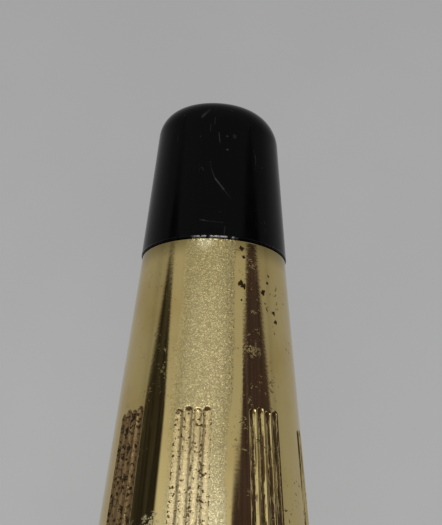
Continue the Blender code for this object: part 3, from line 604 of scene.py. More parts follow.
class Nodes:
    """A node tree, with a short call for each kind of node that is used here."""

    def __init__(self, tree):
        self.tree = tree

    def put(self, target, value):
        if isinstance(value, bpy.types.NodeSocket):
            self.tree.links.new(value, target)
        else:
            target.default_value = value

    def node(self, kind, inputs, output=0, **settings):
        made = self.tree.nodes.new(kind)
        for key, value in settings.items():
            setattr(made, key, value)
        for key, value in inputs.items():
            self.put(made.inputs[key], value)
        return made.outputs[output]

    def shade(self, values):
        for key, value in values.items():
            self.put(self.tree.nodes["Principled BSDF"].inputs[key], value)

    def attribute(self, name, output="Fac"):
        return self.node("ShaderNodeAttribute", {}, output, attribute_name=name)

    def split(self, vector):
        made = self.tree.nodes.new("ShaderNodeSeparateXYZ")
        self.put(made.inputs[0], vector)
        return made.outputs

    def math(self, operation, first, second=0.0):
        return self.node("ShaderNodeMath", {0: first, 1: second}, operation=operation)

    def chain(self, operation, values):
        result = values[0]
        for value in values[1:]:
            result = self.math(operation, result, value)
        return result

    def times(self, *values):
        return self.chain("MULTIPLY", values)

    def plus(self, *values):
        return self.chain("ADD", values)

    def most(self, *values):
        return self.chain("MAXIMUM", values)

    def apart(self, value, middle):
        """How far a value lies from a middle, either way."""
        return self.math("ABSOLUTE", self.math("SUBTRACT", value, middle))

    def vector(self, operation, first, second=(0.0, 0.0, 0.0), output="Vector"):
        return self.node("ShaderNodeVectorMath", {0: first, 1: second}, output, operation=operation)

    def scaled(self, vector, scale):
        return self.node("ShaderNodeVectorMath", {0: vector, "Scale": scale}, operation="SCALE")

    def step(self, value, start, end, low=0.0, high=1.0):
        """A smooth step from low to high as value goes from start to end."""
        inputs = {0: value, 1: start, 2: end, 3: low, 4: high}
        return self.node("ShaderNodeMapRange", inputs, interpolation_type="SMOOTHSTEP")

    def noise(self, place, scale, detail=3.0, roughness=0.55):
        inputs = {"Vector": place, "Scale": scale, "Detail": detail, "Roughness": roughness}
        return self.node("ShaderNodeTexNoise", inputs, "Fac")

    def streaks(self, place, stretch):
        """A noise that is drawn out along the pen."""
        return self.noise(self.vector("MULTIPLY", place, stretch), *STREAK_PATTERN)

    def blend(self, share, first, second):
        return self.node("ShaderNodeMix", {"Factor": share, 6: first, 7: second}, 2, data_type="RGBA")

    def bump(self, height, distance):
        return self.node("ShaderNodeBump", {"Height": height, "Distance": distance})

    def facets(self, normal, place, scale, tilt):
        """Tilt the normal a little, another way in each small cell of the surface."""
        cells = self.node("ShaderNodeTexVoronoi", {"Vector": place, "Scale": scale}, "Color")
        tilted = self.scaled(self.vector("SUBTRACT", cells, CELL_MIDDLE), tilt)
        return self.vector("NORMALIZE", self.vector("ADD", normal, tilted))

    def pen(self):
        """The place on the pen, and its parts across, down and along."""
        place = self.attribute("pen", "Vector")
        return place, *self.split(place)

    def unrolled(self, across, down, along, radius):
        """The turn round the pen, and the surface laid flat: along the girth, and along the pen."""
        turn = self.math("ARCTAN2", across, self.times(down, -1.0))
        flat = self.node("ShaderNodeCombineXYZ", {0: self.times(turn, radius), 1: along})
        return turn, flat

    def from_mark(self, flat, girth, below):
        """Distance on the laid-flat surface from a place below the joint."""
        return self.vector("DISTANCE", flat, (girth, JOINT_HEIGHT - below, 0.0), "Value")

    def scratch(self, flat, start, end, width, strength):
        """A thin straight mark between two places on the laid-flat surface."""
        start = Vector((*start, 0.0))
        run = Vector((*end, 0.0)) - start
        from_start = self.vector("SUBTRACT", flat, start)
        share = self.vector("DOT_PRODUCT", from_start, run / run.length_squared, "Value")
        nearest = self.scaled(run, self.node("ShaderNodeClamp", {0: share}))
        distance = self.vector("DISTANCE", from_start, nearest, "Value")
        return self.step(distance, width * SCRATCH_CORE, width, strength, 0.0)

    def spot(self):
        """The place on a piece that comes from the solids, in millimetres."""
        return self.scaled(self.node("ShaderNodeTexCoord", {}, "Object"), 1 / MM)


def new_paint(name):
    material = bpy.data.materials.new(name)
    material.use_nodes = True
    return material, Nodes(material.node_tree)


# Gold plate
GOLD = (0.66, 0.525, 0.22, 1.0)
DEEP_GOLD = (0.61, 0.45, 0.17, 1.0)
# Painted shade: the gold darkens towards the joint, under the crown's rim
PAINTED_SHADE_GOLD = (0.34, 0.27, 0.105, 1.0)
PATCH_PATTERN = (0.5, 4.0)
PATCH_EDGE = (0.4, 0.75)
PAINTED_RIM_SHADE = (CAP_BACK - 0.75, CAP_BACK)
SPARKLE_PATTERN = (18.0, 2.0, 0.6)
RIPPLE_PATTERN = (8.0, 3.0)
HAIRLINE_STRETCH = (11.0, 11.0, 0.6)
HAIRLINE_EDGE = (0.62, 0.72)
FLUTE_POLISH = (0.0, 0.6, 1.0, 0.75)
POLISHED_ROUGHNESS = 0.05
FROSTED_ROUGHNESS = 0.34
HAIRLINE_ROUGHNESS = 0.06
DIRT_ROUGHNESS = 0.4
RELIEF = 0.014
POLISHED_GRAIN = 0.02
FROSTED_GRAIN = 0.3
RIPPLE_HEIGHT = 0.05
DIRT_HEIGHT = -0.25
SMOOTHER_BELOW = (121.2, 123.2, 0.3, 1.0)
SMOOTHER_SIDE = (-0.25, -0.45, 1.0, 0.5)
FACETS_PER_MM = 30.0
FROSTED_TILT = 0.3
RIM_TILT = (CAP_BACK - 0.13, CAP_BACK - 0.06, 0.0, 0.5)

# The frosted strip along the top of the cap. Its colours are partly its frosted finish and partly a
# painted sheen of the lamp: dimmer at the joint and the sides, paler lower down, in the flutes too
DIM_FROST_SHEEN = (0.425, 0.362, 0.173, 1.0)
MID_FROST_SHEEN = (0.53, 0.455, 0.238, 1.0)
PALE_FROST_SHEEN = (0.86, 0.77, 0.47, 1.0)
FLUTE_GOLD = (0.76, 0.60, 0.29, 1.0)
PALE_FLUTE_GOLD = (0.96, 0.79, 0.43, 1.0)
# Painted glints: pale specks scattered in the frosted strip
PAINTED_GLINT = (0.95, 0.88, 0.62, 1.0)
WANDER_PATTERN = (0.6, 2.0)
WANDER = (0.3, 0.7, -0.02, 0.02)
STRIP_LEFT_EDGE = (-0.43, -0.28)
STRIP_RIGHT_EDGE = (0.25, 0.31, 1.0, 0.0)
STRIP_NARROWING = (CAP_BACK, CAP_TAPER, 0.0, 0.11)
STRIP_FADE = (95.0, 112.0)
STRIP_MIDDLE = -0.05
SHEEN_FADING_SIDES = (0.13, 0.3)
SHEEN_RISES_BELOW = (127.5, 123.5)
SHEEN_PALEST_BELOW = (120.5, 116.0)
PALE_FLUTES_BELOW = (120.5, 118.4)
FLUTE_TINT = (0.0, 0.3)
SPARKLE_TINT = (0.3, 0.7, 0.0, 0.4)
# Painted highlight: a pale patch on the gold just below the joint, near the top of the cap
RIM_HIGHLIGHT_TURN = -0.12
RIM_HIGHLIGHT_SIDES = (0.16, 0.02)
RIM_HIGHLIGHT_REACH = (CAP_BACK - 0.6, CAP_BACK - 0.1, 0.0, 0.7)
PAINTED_GLINT_PATTERN = (13.0, 1.0)
PAINTED_GLINT_EDGE = (0.70, 0.78)

# Pits in the plate near the cap's rim: place along the girth, height below the joint, and size.
# The plate is laid flat at one radius for them.
PLATE_RADIUS = 2.8
PIT_CORE = 0.7
PITS = (
    (1.10, 0.30, 0.09),
    (1.16, 0.62, 0.06),
    (1.02, 1.62, 0.12),
    (1.13, 1.72, 0.12),
    (1.05, 2.25, 0.06),
    (1.95, 1.80, 0.11),
    (2.25, 1.10, 0.06),
    (2.20, 1.40, 0.06),
    (2.45, 2.45, 0.08),
    (2.52, 2.75, 0.10),
    (2.40, 3.20, 0.07),
)
PIT_DIRT = (0.05, 0.03, 0.014, 1.0)
RAGGED_PATTERN = (7.0, 3.0)
RAGGED_EDGE = (0.3, 0.7, -0.04, 0.04)

# Rubbed spots in the plate, given in the same way
RUBBED_SPOTS = ((1.5, 4.1, 0.35), (-1.42, 10.3, 0.42))
RUBBED_CORE = 0.4
RUBBED_SHARE = 0.8
RUBBED_PATTERN = (6.0, 3.0, 0.7)
RUBBED_EDGE = (0.42, 0.6)

# Specks of dirt on the plate
SPECK_PATTERN = (6.0, 3.0, 0.6)
SPECK_EDGE = (0.60, 0.66)
SPECK_ZONE_PATTERN = (0.8, 2.0)
SPECK_ZONE_EDGE = (0.5, 0.6)
SPECK_SIDE = (0.3, 0.6, 0.25, 1.0)

# Dirt in the flutes. The top ones are rubbed clean, and those on the left are soiled most.
DIRT = (0.11, 0.066, 0.027, 1.0)
CRUST_DIRT = (0.31, 0.20, 0.088, 1.0)
CLEAN_TURN = -0.15
CLEAN_CRUST = (0.28, 0.5, -0.1, 0.035)
SOILED_START = (-0.4, -0.7)
SOILED_END = (-1.6, -1.3)
SOILED_FADE = (85.0, 118.0)
SOILED_CRUST = 0.285
SOILED_GRIT = 0.16
CRUST_STRETCH = (7.0, 7.0, 0.7)
CRUST_EDGE = (0.50, 0.62)
CRUST_SHALLOW = 0.1
CRUST_DEEP = 0.6
TIP_CRUST = (0.2, 0.9, 0.0, 0.4)
GRIT_PATTERN = (7.0, 3.0, 0.7)
GRIT_EDGE = (0.57, 0.63)
RIDGE_GRIT = (0.5, 0.2, 0.0, 0.055)
RIDGE_GRIT_SIDES = (0.28, 0.5, 1.0, 0.0)
LESS_GRIT_SIDE = (0.3, 0.5, 0.0, -0.07)
FLUTE_BRINK = (0.0, 0.04)
CLOT_PATTERN = (6.5, 3.0, 0.7)
CLOT_EDGE = (0.51, 0.56)


def frosting(nodes, place, turn, flat, along, frosted):
    """The frosted strip with the rubbed spots, and the turn with the wandering of the strip's edges."""
    wander = nodes.plus(turn, nodes.step(nodes.noise(place, *WANDER_PATTERN), *WANDER))
    narrowed = nodes.plus(wander, nodes.step(along, *STRIP_NARROWING))
    frost = nodes.times(nodes.step(wander, *STRIP_LEFT_EDGE), nodes.step(narrowed, *STRIP_RIGHT_EDGE))
    frost = nodes.times(frost, nodes.step(along, *STRIP_FADE, 0.0, frosted))
    mottle = nodes.noise(place, *RUBBED_PATTERN)
    mottle = nodes.step(mottle, *RUBBED_EDGE, 0.0, RUBBED_SHARE * frosted)
    for girth, below, size in RUBBED_SPOTS:
        rubbed = nodes.step(nodes.from_mark(flat, girth, below), size, size * RUBBED_CORE)
        frost = nodes.most(frost, nodes.times(mottle, rubbed))
    return frost, wander


def frosted_tone(nodes, place, turn, along, depth, wander, sparkle):
    """The frosted strip's colour, its finish with the lamp's sheen painted in: dimmer at the joint and
    the sides, paler below, with a painted highlight at the rim and painted glints.
    """
    # Painted sheen: the strip is dimmer at the joint and at its sides, and paler lower down
    tone = nodes.blend(nodes.step(along, *SHEEN_RISES_BELOW), DIM_FROST_SHEEN, MID_FROST_SHEEN)
    from_middle = nodes.apart(wander, STRIP_MIDDLE)
    tone = nodes.blend(nodes.step(from_middle, *SHEEN_FADING_SIDES), tone, DIM_FROST_SHEEN)
    tone = nodes.blend(nodes.step(along, *SHEEN_PALEST_BELOW), tone, PALE_FROST_SHEEN)
    tone = nodes.blend(nodes.step(sparkle, *SPARKLE_TINT), tone, DEEP_GOLD)
    flute_tone = nodes.blend(nodes.step(along, *PALE_FLUTES_BELOW), FLUTE_GOLD, PALE_FLUTE_GOLD)
    tone = nodes.blend(nodes.step(depth, *FLUTE_TINT), tone, flute_tone)
    # Painted highlight below the joint
    painted_rim_highlight = nodes.step(nodes.apart(turn, RIM_HIGHLIGHT_TURN), *RIM_HIGHLIGHT_SIDES)
    painted_rim_highlight = nodes.times(painted_rim_highlight, nodes.step(along, *RIM_HIGHLIGHT_REACH))
    tone = nodes.blend(painted_rim_highlight, tone, PALE_FROST_SHEEN)
    # Painted glints
    return nodes.blend(nodes.step(nodes.noise(place, *PAINTED_GLINT_PATTERN), *PAINTED_GLINT_EDGE), tone, PAINTED_GLINT)


def plate_pits(nodes, place, flat):
    """Small pits with ragged edges."""
    ragged = nodes.step(nodes.noise(place, *RAGGED_PATTERN), *RAGGED_EDGE)
    pitted = 0.0
    for girth, below, size in PITS:
        distance = nodes.plus(nodes.from_mark(flat, girth, below), ragged)
        pitted = nodes.most(pitted, nodes.step(distance, size * PIT_CORE, size, 1.0, 0.0))
    return pitted


def plate_specks(nodes, place, turn):
    """Specks in a few zones, most of them on the right."""
    specks = nodes.step(nodes.noise(place, *SPECK_PATTERN), *SPECK_EDGE)
    zone = nodes.step(nodes.noise(place, *SPECK_ZONE_PATTERN), *SPECK_ZONE_EDGE)
    return nodes.times(specks, zone, nodes.step(turn, *SPECK_SIDE))


def flute_dirt(nodes, place, turn, along, depth, frosted):
    """Crust and grit in the flutes, how soiled each place is, and the dark clots in the soiled ones."""
    aside = nodes.apart(turn, CLEAN_TURN)
    in_flute = nodes.step(depth, *FLUTE_BRINK)
    soiled = nodes.times(nodes.step(turn, *SOILED_START), nodes.step(turn, *SOILED_END))
    soiled = nodes.times(soiled, nodes.step(along, *SOILED_FADE, 0.0, frosted))
    caked = nodes.plus(nodes.step(aside, *CLEAN_CRUST), nodes.times(soiled, SOILED_CRUST))
    at_tip = nodes.step(nodes.attribute("tip"), *TIP_CRUST)
    crust = nodes.plus(nodes.streaks(place, CRUST_STRETCH), caked, at_tip)
    shallow = nodes.step(soiled, 0.0, 1.0, CRUST_SHALLOW, 0.0)
    crust = nodes.times(nodes.step(depth, shallow, CRUST_DEEP), nodes.step(crust, *CRUST_EDGE))
    on_ridge = nodes.times(nodes.step(depth, *RIDGE_GRIT), nodes.step(aside, *RIDGE_GRIT_SIDES))
    grit = nodes.plus(nodes.noise(place, *GRIT_PATTERN), nodes.times(soiled, SOILED_GRIT), on_ridge)
    grit = nodes.plus(grit, nodes.step(turn, *LESS_GRIT_SIDE))
    grit = nodes.times(nodes.step(grit, *GRIT_EDGE), in_flute)
    clots = nodes.step(nodes.noise(place, *CLOT_PATTERN), *CLOT_EDGE)
    return nodes.most(crust, grit), soiled, nodes.times(clots, soiled, in_flute)


def gold_paint(name, frosted):
    """Worn gold plate: a frosted strip along its top with a painted sheen, highlight and glints, painted
    shade under the crown's rim, pits, hairlines, and dirt in the flutes.
    """
    material, nodes = new_paint(name)
    place, across, down, along = nodes.pen()
    turn, flat = nodes.unrolled(across, down, along, PLATE_RADIUS)
    depth = nodes.attribute("depth")
    sparkle = nodes.noise(place, *SPARKLE_PATTERN)
    frost, wander = frosting(nodes, place, turn, flat, along, frosted)
    dirt, soiled, clots = flute_dirt(nodes, place, turn, along, depth, frosted)
    dirt = nodes.most(plate_specks(nodes, place, turn), dirt)
    pitted = nodes.most(plate_pits(nodes, place, flat), clots)

    patches = nodes.step(nodes.noise(place, *PATCH_PATTERN), *PATCH_EDGE)
    colour = nodes.blend(patches, GOLD, DEEP_GOLD)
    # Painted shade under the crown's rim
    colour = nodes.blend(nodes.step(along, *PAINTED_RIM_SHADE), colour, PAINTED_SHADE_GOLD)
    frosted_colour = frosted_tone(nodes, place, turn, along, depth, wander, sparkle)
    colour = nodes.blend(frost, colour, frosted_colour)
    colour = nodes.blend(dirt, colour, nodes.blend(soiled, DIRT, CRUST_DIRT))
    colour = nodes.blend(pitted, colour, PIT_DIRT)
    dirt = nodes.most(dirt, pitted)

    matt = nodes.times(frost, nodes.step(depth, *FLUTE_POLISH))
    hairlines = nodes.step(nodes.streaks(place, HAIRLINE_STRETCH), *HAIRLINE_EDGE)
    roughness = nodes.step(matt, 0.0, 1.0, POLISHED_ROUGHNESS, FROSTED_ROUGHNESS)
    roughness = nodes.plus(roughness, nodes.times(hairlines, HAIRLINE_ROUGHNESS))
    roughness = nodes.plus(roughness, nodes.times(dirt, DIRT_ROUGHNESS))

    uneven = nodes.times(nodes.step(along, *SMOOTHER_BELOW), nodes.step(turn, *SMOOTHER_SIDE))
    grain = nodes.step(matt, 0.0, 1.0, nodes.times(uneven, POLISHED_GRAIN), FROSTED_GRAIN)
    relief = nodes.times(nodes.math("SUBTRACT", sparkle, NOISE_MIDDLE), grain)
    ripple = nodes.times(nodes.noise(place, *RIPPLE_PATTERN), nodes.times(uneven, RIPPLE_HEIGHT))
    relief = nodes.plus(relief, ripple, nodes.times(dirt, DIRT_HEIGHT))
    tilt = nodes.step(matt, 0.0, 1.0, 0.0, FROSTED_TILT)
    tilt = nodes.plus(tilt, nodes.times(frost, nodes.step(along, *RIM_TILT)))
    nodes.shade(
        {
            "Base Color": colour,
            "Metallic": 1.0,
            "Roughness": roughness,
            "Normal": nodes.facets(nodes.bump(relief, RELIEF * MM), place, FACETS_PER_MM, tilt),
        }
    )
    return material


# Black cone
BLACK = (0.0008, 0.0008, 0.0010, 1.0)
HAZY_BLACK = (0.0014, 0.0014, 0.0017, 1.0)
MARK_GREY = (0.045, 0.045, 0.048, 1.0)
BARE_METAL = (0.25, 0.25, 0.26, 1.0)
BLACK_IOR = 1.17
HAZE_PATTERN = (0.9, 4.0)
HAZE_ROUGHNESS = (0.3, 0.7, 0.06, 0.13)
MARK_STRETCH = (7.0, 7.0, 0.8)
MARK_EDGE = (0.68, 0.76, 0.0, 0.4)
FADING_PATTERN = (3.0, 3.0)
FADING = (0.35, 0.6, 0.25, 1.0)
FINE_PATTERN = (7.0, 2.0)
DUST_EDGE = (0.74, 0.80, 0.0, 0.6)
FOOT_BAND = (CROWN_BASE + CROWN_BASE_ROUND * 0.9, CROWN_BASE + CROWN_BASE_ROUND * 1.4, 1.0, 0.0)
FOOT_WEAR_SIDES = (0.2, 0.35, 1.0, 0.0)
FOOT_WEAR_EDGE = (0.42, 0.55)
CHIP_DEPTH = 0.02

# Marks on the cone: both ends' places along the girth and heights above the joint, width and strength.
# The cone is laid flat at one radius for them.
CONE_RADIUS = 2.3
SCRATCHES = (
    ((-0.24, 2.95), (-0.19, 2.64), 0.02, 0.3),
    ((-0.19, 2.64), (-0.05, 2.28), 0.025, 0.4),
    ((-0.05, 2.28), (0.26, 1.87), 0.035, 1.0),
    ((0.26, 1.87), (0.51, 1.53), 0.02, 0.4),
    ((-0.49, 0.69), (-0.22, 0.63), 0.03, 0.7),
    ((-0.22, 0.63), (0.26, 0.59), 0.02, 0.3),
    ((-0.13, 4.67), (-0.14, 4.40), 0.02, 0.4),
    ((-0.29, 4.40), (-0.30, 4.13), 0.02, 0.3),
    ((0.03, 4.08), (0.08, 3.68), 0.03, 0.5),
    ((-0.65, 4.71), (-0.39, 4.99), 0.08, 0.4),
    ((0.34, 3.42), (0.38, 3.43), 0.04, 1.0),
    ((0.33, 3.95), (0.36, 3.95), 0.035, 0.7),
    ((0.62, 4.00), (0.64, 3.95), 0.09, 0.25),
    ((-0.54, 2.72), (-0.46, 2.60), 0.025, 0.4),
)


def black_paint(name):
    """Glossy black with hairline scratches, dull patches, a little dust and a worn foot."""
    material, nodes = new_paint(name)
    place, across, down, along = nodes.pen()
    turn, flat = nodes.unrolled(across, down, along, CONE_RADIUS)
    haze = nodes.noise(place, *HAZE_PATTERN)
    fine = nodes.noise(place, *FINE_PATTERN)
    fading = nodes.step(nodes.noise(place, *FADING_PATTERN), *FADING)
    marks = nodes.step(nodes.streaks(place, MARK_STRETCH), *MARK_EDGE)
    for (girth, height), (end_girth, end_height), width, strength in SCRATCHES:
        start = (girth, JOINT_HEIGHT + height)
        end = (end_girth, JOINT_HEIGHT + end_height)
        mark = nodes.scratch(flat, start, end, width, strength)
        marks = nodes.most(marks, nodes.times(mark, fading))
    marks = nodes.most(marks, nodes.step(fine, *DUST_EDGE))
    foot = nodes.step(along, *FOOT_BAND)
    worn = nodes.times(foot, nodes.step(nodes.math("ABSOLUTE", turn), *FOOT_WEAR_SIDES))
    worn = nodes.times(worn, nodes.step(fine, *FOOT_WEAR_EDGE))
    colour = nodes.blend(haze, BLACK, HAZY_BLACK)
    colour = nodes.blend(marks, colour, MARK_GREY)
    nodes.shade(
        {
            "Base Color": nodes.blend(worn, colour, BARE_METAL),
            "Metallic": worn,
            "Roughness": nodes.step(haze, *HAZE_ROUGHNESS),
            "IOR": BLACK_IOR,
            "Normal": nodes.bump(nodes.times(fine, foot), CHIP_DEPTH * MM),
        }
    )
    return material


# Machined and moulded pieces: their two colours and their roughness
BRASS = ((0.72, 0.55, 0.27, 1.0), (0.5, 0.36, 0.16, 1.0), 0.25)
STEEL = ((0.62, 0.62, 0.64, 1.0), (0.42, 0.42, 0.43, 1.0), 0.2)
NYLON = ((0.75, 0.73, 0.66, 1.0), (0.66, 0.63, 0.55, 1.0), 0.45)
RUBBER = ((0.02, 0.02, 0.02, 1.0), (0.035, 0.035, 0.035, 1.0), 0.6)
INK = ((0.01, 0.01, 0.05, 1.0), (0.006, 0.006, 0.03, 1.0), 0.15)
FINE_RELIEF = 0.01
TURNING_STRETCH = (0.6, 14.0, 0.6)
TURNING_PATTERN = (1.0, 2.0)
TURNING_ROUGHNESS = 0.18
STAIN_PATTERN = (0.6, 4.0)
STAIN_EDGE = (0.35, 0.7)
CLOUD_PATTERN = (0.8, 4.0)
CLOUD_EDGE = (0.3, 0.7)
MOULD_PATTERN = (14.0, 2.0)
MOULD_ROUGHNESS = 0.15


def metal_paint(name, colour, dark, roughness):
    """Machined metal with fine turning lines and a slight tarnish."""
    material, nodes = new_paint(name)
    spot = nodes.spot()
    lines = nodes.noise(nodes.vector("MULTIPLY", spot, TURNING_STRETCH), *TURNING_PATTERN)
    stain = nodes.noise(spot, *STAIN_PATTERN)
    nodes.shade(
        {
            "Base Color": nodes.blend(nodes.step(stain, *STAIN_EDGE), colour, dark),
            "Metallic": 1.0,
            "Roughness": nodes.plus(nodes.times(lines, TURNING_ROUGHNESS), roughness),
            "Normal": nodes.bump(lines, FINE_RELIEF * MM),
        }
    )
    return material


def moulded_paint(name, colour, other, roughness):
    """A moulded surface with a soft grain."""
    material, nodes = new_paint(name)
    spot = nodes.spot()
    cloud = nodes.noise(spot, *CLOUD_PATTERN)
    grain = nodes.noise(spot, *MOULD_PATTERN)
    nodes.shade(
        {
            "Base Color": nodes.blend(nodes.step(cloud, *CLOUD_EDGE), colour, other),
            "Roughness": nodes.plus(nodes.times(grain, MOULD_ROUGHNESS), roughness),
            "Normal": nodes.bump(grain, FINE_RELIEF * MM),
        }
    )
    return material


# Stage

# Floor, in metres: its tones, and where they change towards the conical top and beyond it, where a
# painted falloff of light darkens it
FLOOR_REACH = 4.0
FLOOR_CORNERS = ((-1, -1), (1, -1), (1, 1), (-1, 1))
FLOOR_TURNOVER = (-0.01, 0.05)
FLOOR_TONES = (0.52, 0.445)
FLOOR_GLOW_SHARES = (0.45, 0.85)
FLOOR_PAINTED_FALLOFF = (0.035, 0.105, 1.0, 0.764)
FLOOR_PATTERN = (120.0, 4.0)
FLOOR_CLOUDS = (0.3, 0.7, 0.985, 1.015)
FLOOR_ROUGHNESS = 0.9

# Room, by the direction from the pen: its tones, and where they change with height and depth
CEILING_TONES = (0.1, 0.45, 0.36, 0.50)
OVERHEAD_TONE = 0.25
OVERHEAD_DEPTH = (0.475, 0.415)
OVERHEAD_HEIGHT = (0.3, 0.5)
LEFT_WALL_TONES = ((0.022, 0.020, 0.020, 1.0), (0.075, 0.072, 0.066, 1.0))
RIGHT_WALL_TONES = ((0.045, 0.029, 0.043, 1.0), (0.095, 0.070, 0.090, 1.0))
CLUTTER_PATTERN = (16.0, 4.0, 0.7)
CLUTTER_EDGE = (0.4, 0.75)

# Dark walls: normals of the planes through their near and lower edges, their side, and their top
LEFT_WALL = ((-0.512, -0.859, 0.0), (-0.389, -0.844, 0.370), -1.0, 0.49)
RIGHT_WALL = ((0.453, -0.868, 0.202), (0.382, -0.846, 0.372), 1.0, 0.80)
LEFT_WALL_FADE = (0.479, 0.486, 1.0, 0.3)
WALL_BENDS_BY_HEIGHT = ((0.60, 0.64, 0.0, -0.014), (0.67, 0.78, 0.0, 0.024))
WALL_BEND_BY_DEPTH = (0.488, 0.496, 0.0, 0.006)
WALL_NEAR_EDGE = (-0.011, 0.002)
WALL_LOWER_EDGE = (-0.012, 0.012)
WALL_SIDE = (0.3, 0.45)
WALL_TOP_SOFTNESS = 0.025

# Lamp, in watts and metres
LAMP_POWER = 13.0
LAMP_DISTANCE = 2.0
LAMP_WIDTH = 2.0
LAMP_DEPTH = 0.4
LAMP_LEAN = math.radians(5.0)


def make_floor():
    """A wide pale floor. Part of its tone glows where it is seen, so its shadow stays faint."""
    mesh = bpy.data.meshes.new("floor")
    corners = [(x * FLOOR_REACH, y * FLOOR_REACH, 0) for x, y in FLOOR_CORNERS]
    mesh.from_pydata(corners, [], [(0, 1, 2, 3)])
    material, nodes = new_paint("floor_paint")
    place = nodes.node("ShaderNodeTexCoord", {}, "Object")
    far = nodes.split(place)[1]
    clouds = nodes.step(nodes.noise(place, *FLOOR_PATTERN), *FLOOR_CLOUDS)
    tone = nodes.step(far, *FLOOR_TURNOVER, *FLOOR_TONES)
    # Painted falloff of light: the floor grows darker beyond the conical top
    tone = nodes.times(tone, nodes.step(far, *FLOOR_PAINTED_FALLOFF), clouds)
    nodes.shade({"Base Color": tone, "Roughness": FLOOR_ROUGHNESS, "Specular IOR Level": 0.0})
    glow = nodes.node("ShaderNodeEmission", {"Color": tone})
    path = nodes.tree.nodes.new("ShaderNodeLightPath").outputs
    seen = nodes.most(path["Is Camera Ray"], path["Is Glossy Ray"], path["Is Transmission Ray"])
    share = nodes.times(seen, nodes.step(far, *FLOOR_TURNOVER, *FLOOR_GLOW_SHARES))
    lit = nodes.tree.nodes["Principled BSDF"].outputs[0]
    mixed = nodes.node("ShaderNodeMixShader", {0: share, 1: lit, 2: glow})
    nodes.put(nodes.tree.nodes["Material Output"].inputs["Surface"], mixed)
    mesh.materials.append(material)
    floor = bpy.data.objects.new("floor", mesh)
    bpy.context.scene.collection.objects.link(floor)


def dark_wall(nodes, way, near_edge, lower_edge, side, top):
    """Inside two slightly bent edges, to one side and below a top."""
    across, far, up = nodes.split(way)
    reach = nodes.vector("DOT_PRODUCT", way, near_edge, "Value")
    bends = [nodes.step(up, *bend) for bend in WALL_BENDS_BY_HEIGHT]
    reach = nodes.plus(reach, *bends, nodes.step(far, *WALL_BEND_BY_DEPTH))
    inside = nodes.step(reach, *WALL_NEAR_EDGE)
    above = nodes.step(nodes.vector("DOT_PRODUCT", way, lower_edge, "Value"), *WALL_LOWER_EDGE)
    aside = nodes.step(nodes.times(across, side), *WALL_SIDE)
    below = nodes.step(up, top - WALL_TOP_SOFTNESS, top + WALL_TOP_SOFTNESS, 1.0, 0.0)
    return nodes.times(inside, above, aside, below)


def make_world():
    """A room with an even ceiling, and a dark wall low down at each side."""
    world = bpy.data.worlds.new("studio")
    world.use_nodes = True
    bpy.context.scene.world = world
    nodes = Nodes(world.node_tree)
    way = nodes.node("ShaderNodeTexCoord", {}, "Generated")
    far, up = nodes.split(way)[1:3]
    left = nodes.times(dark_wall(nodes, way, *LEFT_WALL), nodes.step(far, *LEFT_WALL_FADE))
    right = dark_wall(nodes, way, *RIGHT_WALL)
    overhead = nodes.times(nodes.step(far, *OVERHEAD_DEPTH), nodes.step(up, *OVERHEAD_HEIGHT))
    ceiling = nodes.plus(nodes.step(up, *CEILING_TONES), nodes.times(overhead, OVERHEAD_TONE))
    clutter = nodes.step(nodes.noise(way, *CLUTTER_PATTERN), *CLUTTER_EDGE)
    tone = nodes.blend(left, ceiling, nodes.blend(clutter, *LEFT_WALL_TONES))
    tone = nodes.blend(right, tone, nodes.blend(clutter, *RIGHT_WALL_TONES))
    nodes.put(nodes.tree.nodes["Background"].inputs["Color"], tone)


def make_lamp():
    """A wide soft lamp overhead, leaning towards the writing end."""
    lamp = bpy.data.lights.new("key_lamp", "AREA")
    lamp.shape = "RECTANGLE"
    lamp.size = LAMP_WIDTH
    lamp.size_y = LAMP_DEPTH
    lamp.energy = LAMP_POWER
    holder = bpy.data.objects.new("key_lamp", lamp)
    aim = Matrix.Translation(pen_place() @ Vector((0.0, 0.0, JOINT_HEIGHT)))
    lift = Matrix.Translation((0.0, 0.0, LAMP_DISTANCE))
    holder.matrix_world = aim @ Matrix.Rotation(LAMP_LEAN, 4, "X") @ lift
    bpy.context.scene.collection.objects.link(holder)


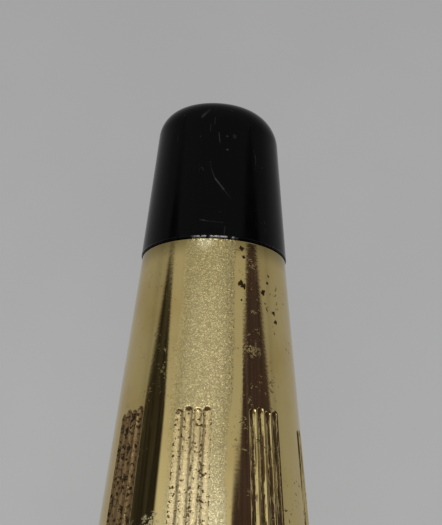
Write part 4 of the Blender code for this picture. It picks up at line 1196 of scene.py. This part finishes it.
def make_camera():
    """Set the camera by where the joint lies in its view, and how the pen's axis rolls and tilts."""
    across = math.cos(AXIS_TILT)
    axis = Vector((math.sin(AXIS_ROLL) * across, -math.cos(AXIS_ROLL) * across, math.sin(AXIS_TILT)))
    facing = Vector((0.0, 0.0, -1.0))
    facing = (facing - axis * facing.dot(axis)).normalized()
    pen = pen_place().to_3x3().normalized()
    world_axis = pen @ Vector((0.0, 0.0, 1.0))
    world_facing = pen @ Vector((0.0, -1.0, 0.0))
    seen = Matrix((axis, axis.cross(facing), facing))
    placed = Matrix((world_axis, world_axis.cross(world_facing), world_facing)).transposed()
    turn = placed @ seen
    joint = pen_place() @ Vector((0.0, 0.0, JOINT_HEIGHT))
    place = joint - turn @ JOINT_FROM_CAMERA * MM
    flip = Matrix.Diagonal((1.0, -1.0, -1.0))
    camera = bpy.data.cameras.new("camera")
    camera.sensor_width = SENSOR
    camera.lens = SENSOR * FOCAL_PIXELS / PHOTO_HEIGHT
    camera.clip_start = NEAREST_SEEN
    camera.clip_end = FARTHEST_SEEN
    holder = bpy.data.objects.new("camera", camera)
    holder.matrix_world = Matrix.Translation(place) @ (turn @ flip).to_4x4()
    bpy.context.scene.collection.objects.link(holder)
    bpy.context.scene.camera = holder


def build_scene():
    """Dress the frame: paint every node, put the fine shells on, and set the stage."""
    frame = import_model()
    cap_gold = gold_paint("cap_gold", 1.0)
    gold = gold_paint("barrel_gold", 0.0)
    black = black_paint("crown_black")
    brass = metal_paint("machined_brass", *BRASS)
    steel = metal_paint("machined_steel", *STEEL)
    by_slot = {
        "gold": gold,
        "black_gloss": black,
        "inner_brass": brass,
        "steel": steel,
        "nylon": moulded_paint("moulded_nylon", *NYLON),
        "seal_rubber": moulded_paint("moulded_rubber", *RUBBER),
        "ink": moulded_paint("ink_paste", *INK),
    }
    for entry in frame["record"]["subparts"]:
        mesh = frame["nodes"][entry["node"]].data
        mesh.materials.clear()
        mesh.materials.append(by_slot[entry["material_slot"]])
    make_cap(cap_gold)
    for make in (make_barrel, make_nose, make_ring, make_clip, make_clip_root, make_clip_button):
        make(gold)
    make_crown(black)
    make_point(brass)
    make_ball(steel)
    make_floor()
    make_world()
    make_lamp()
    make_camera()
    bpy.context.scene.view_settings.view_transform = "Standard"


build_scene()
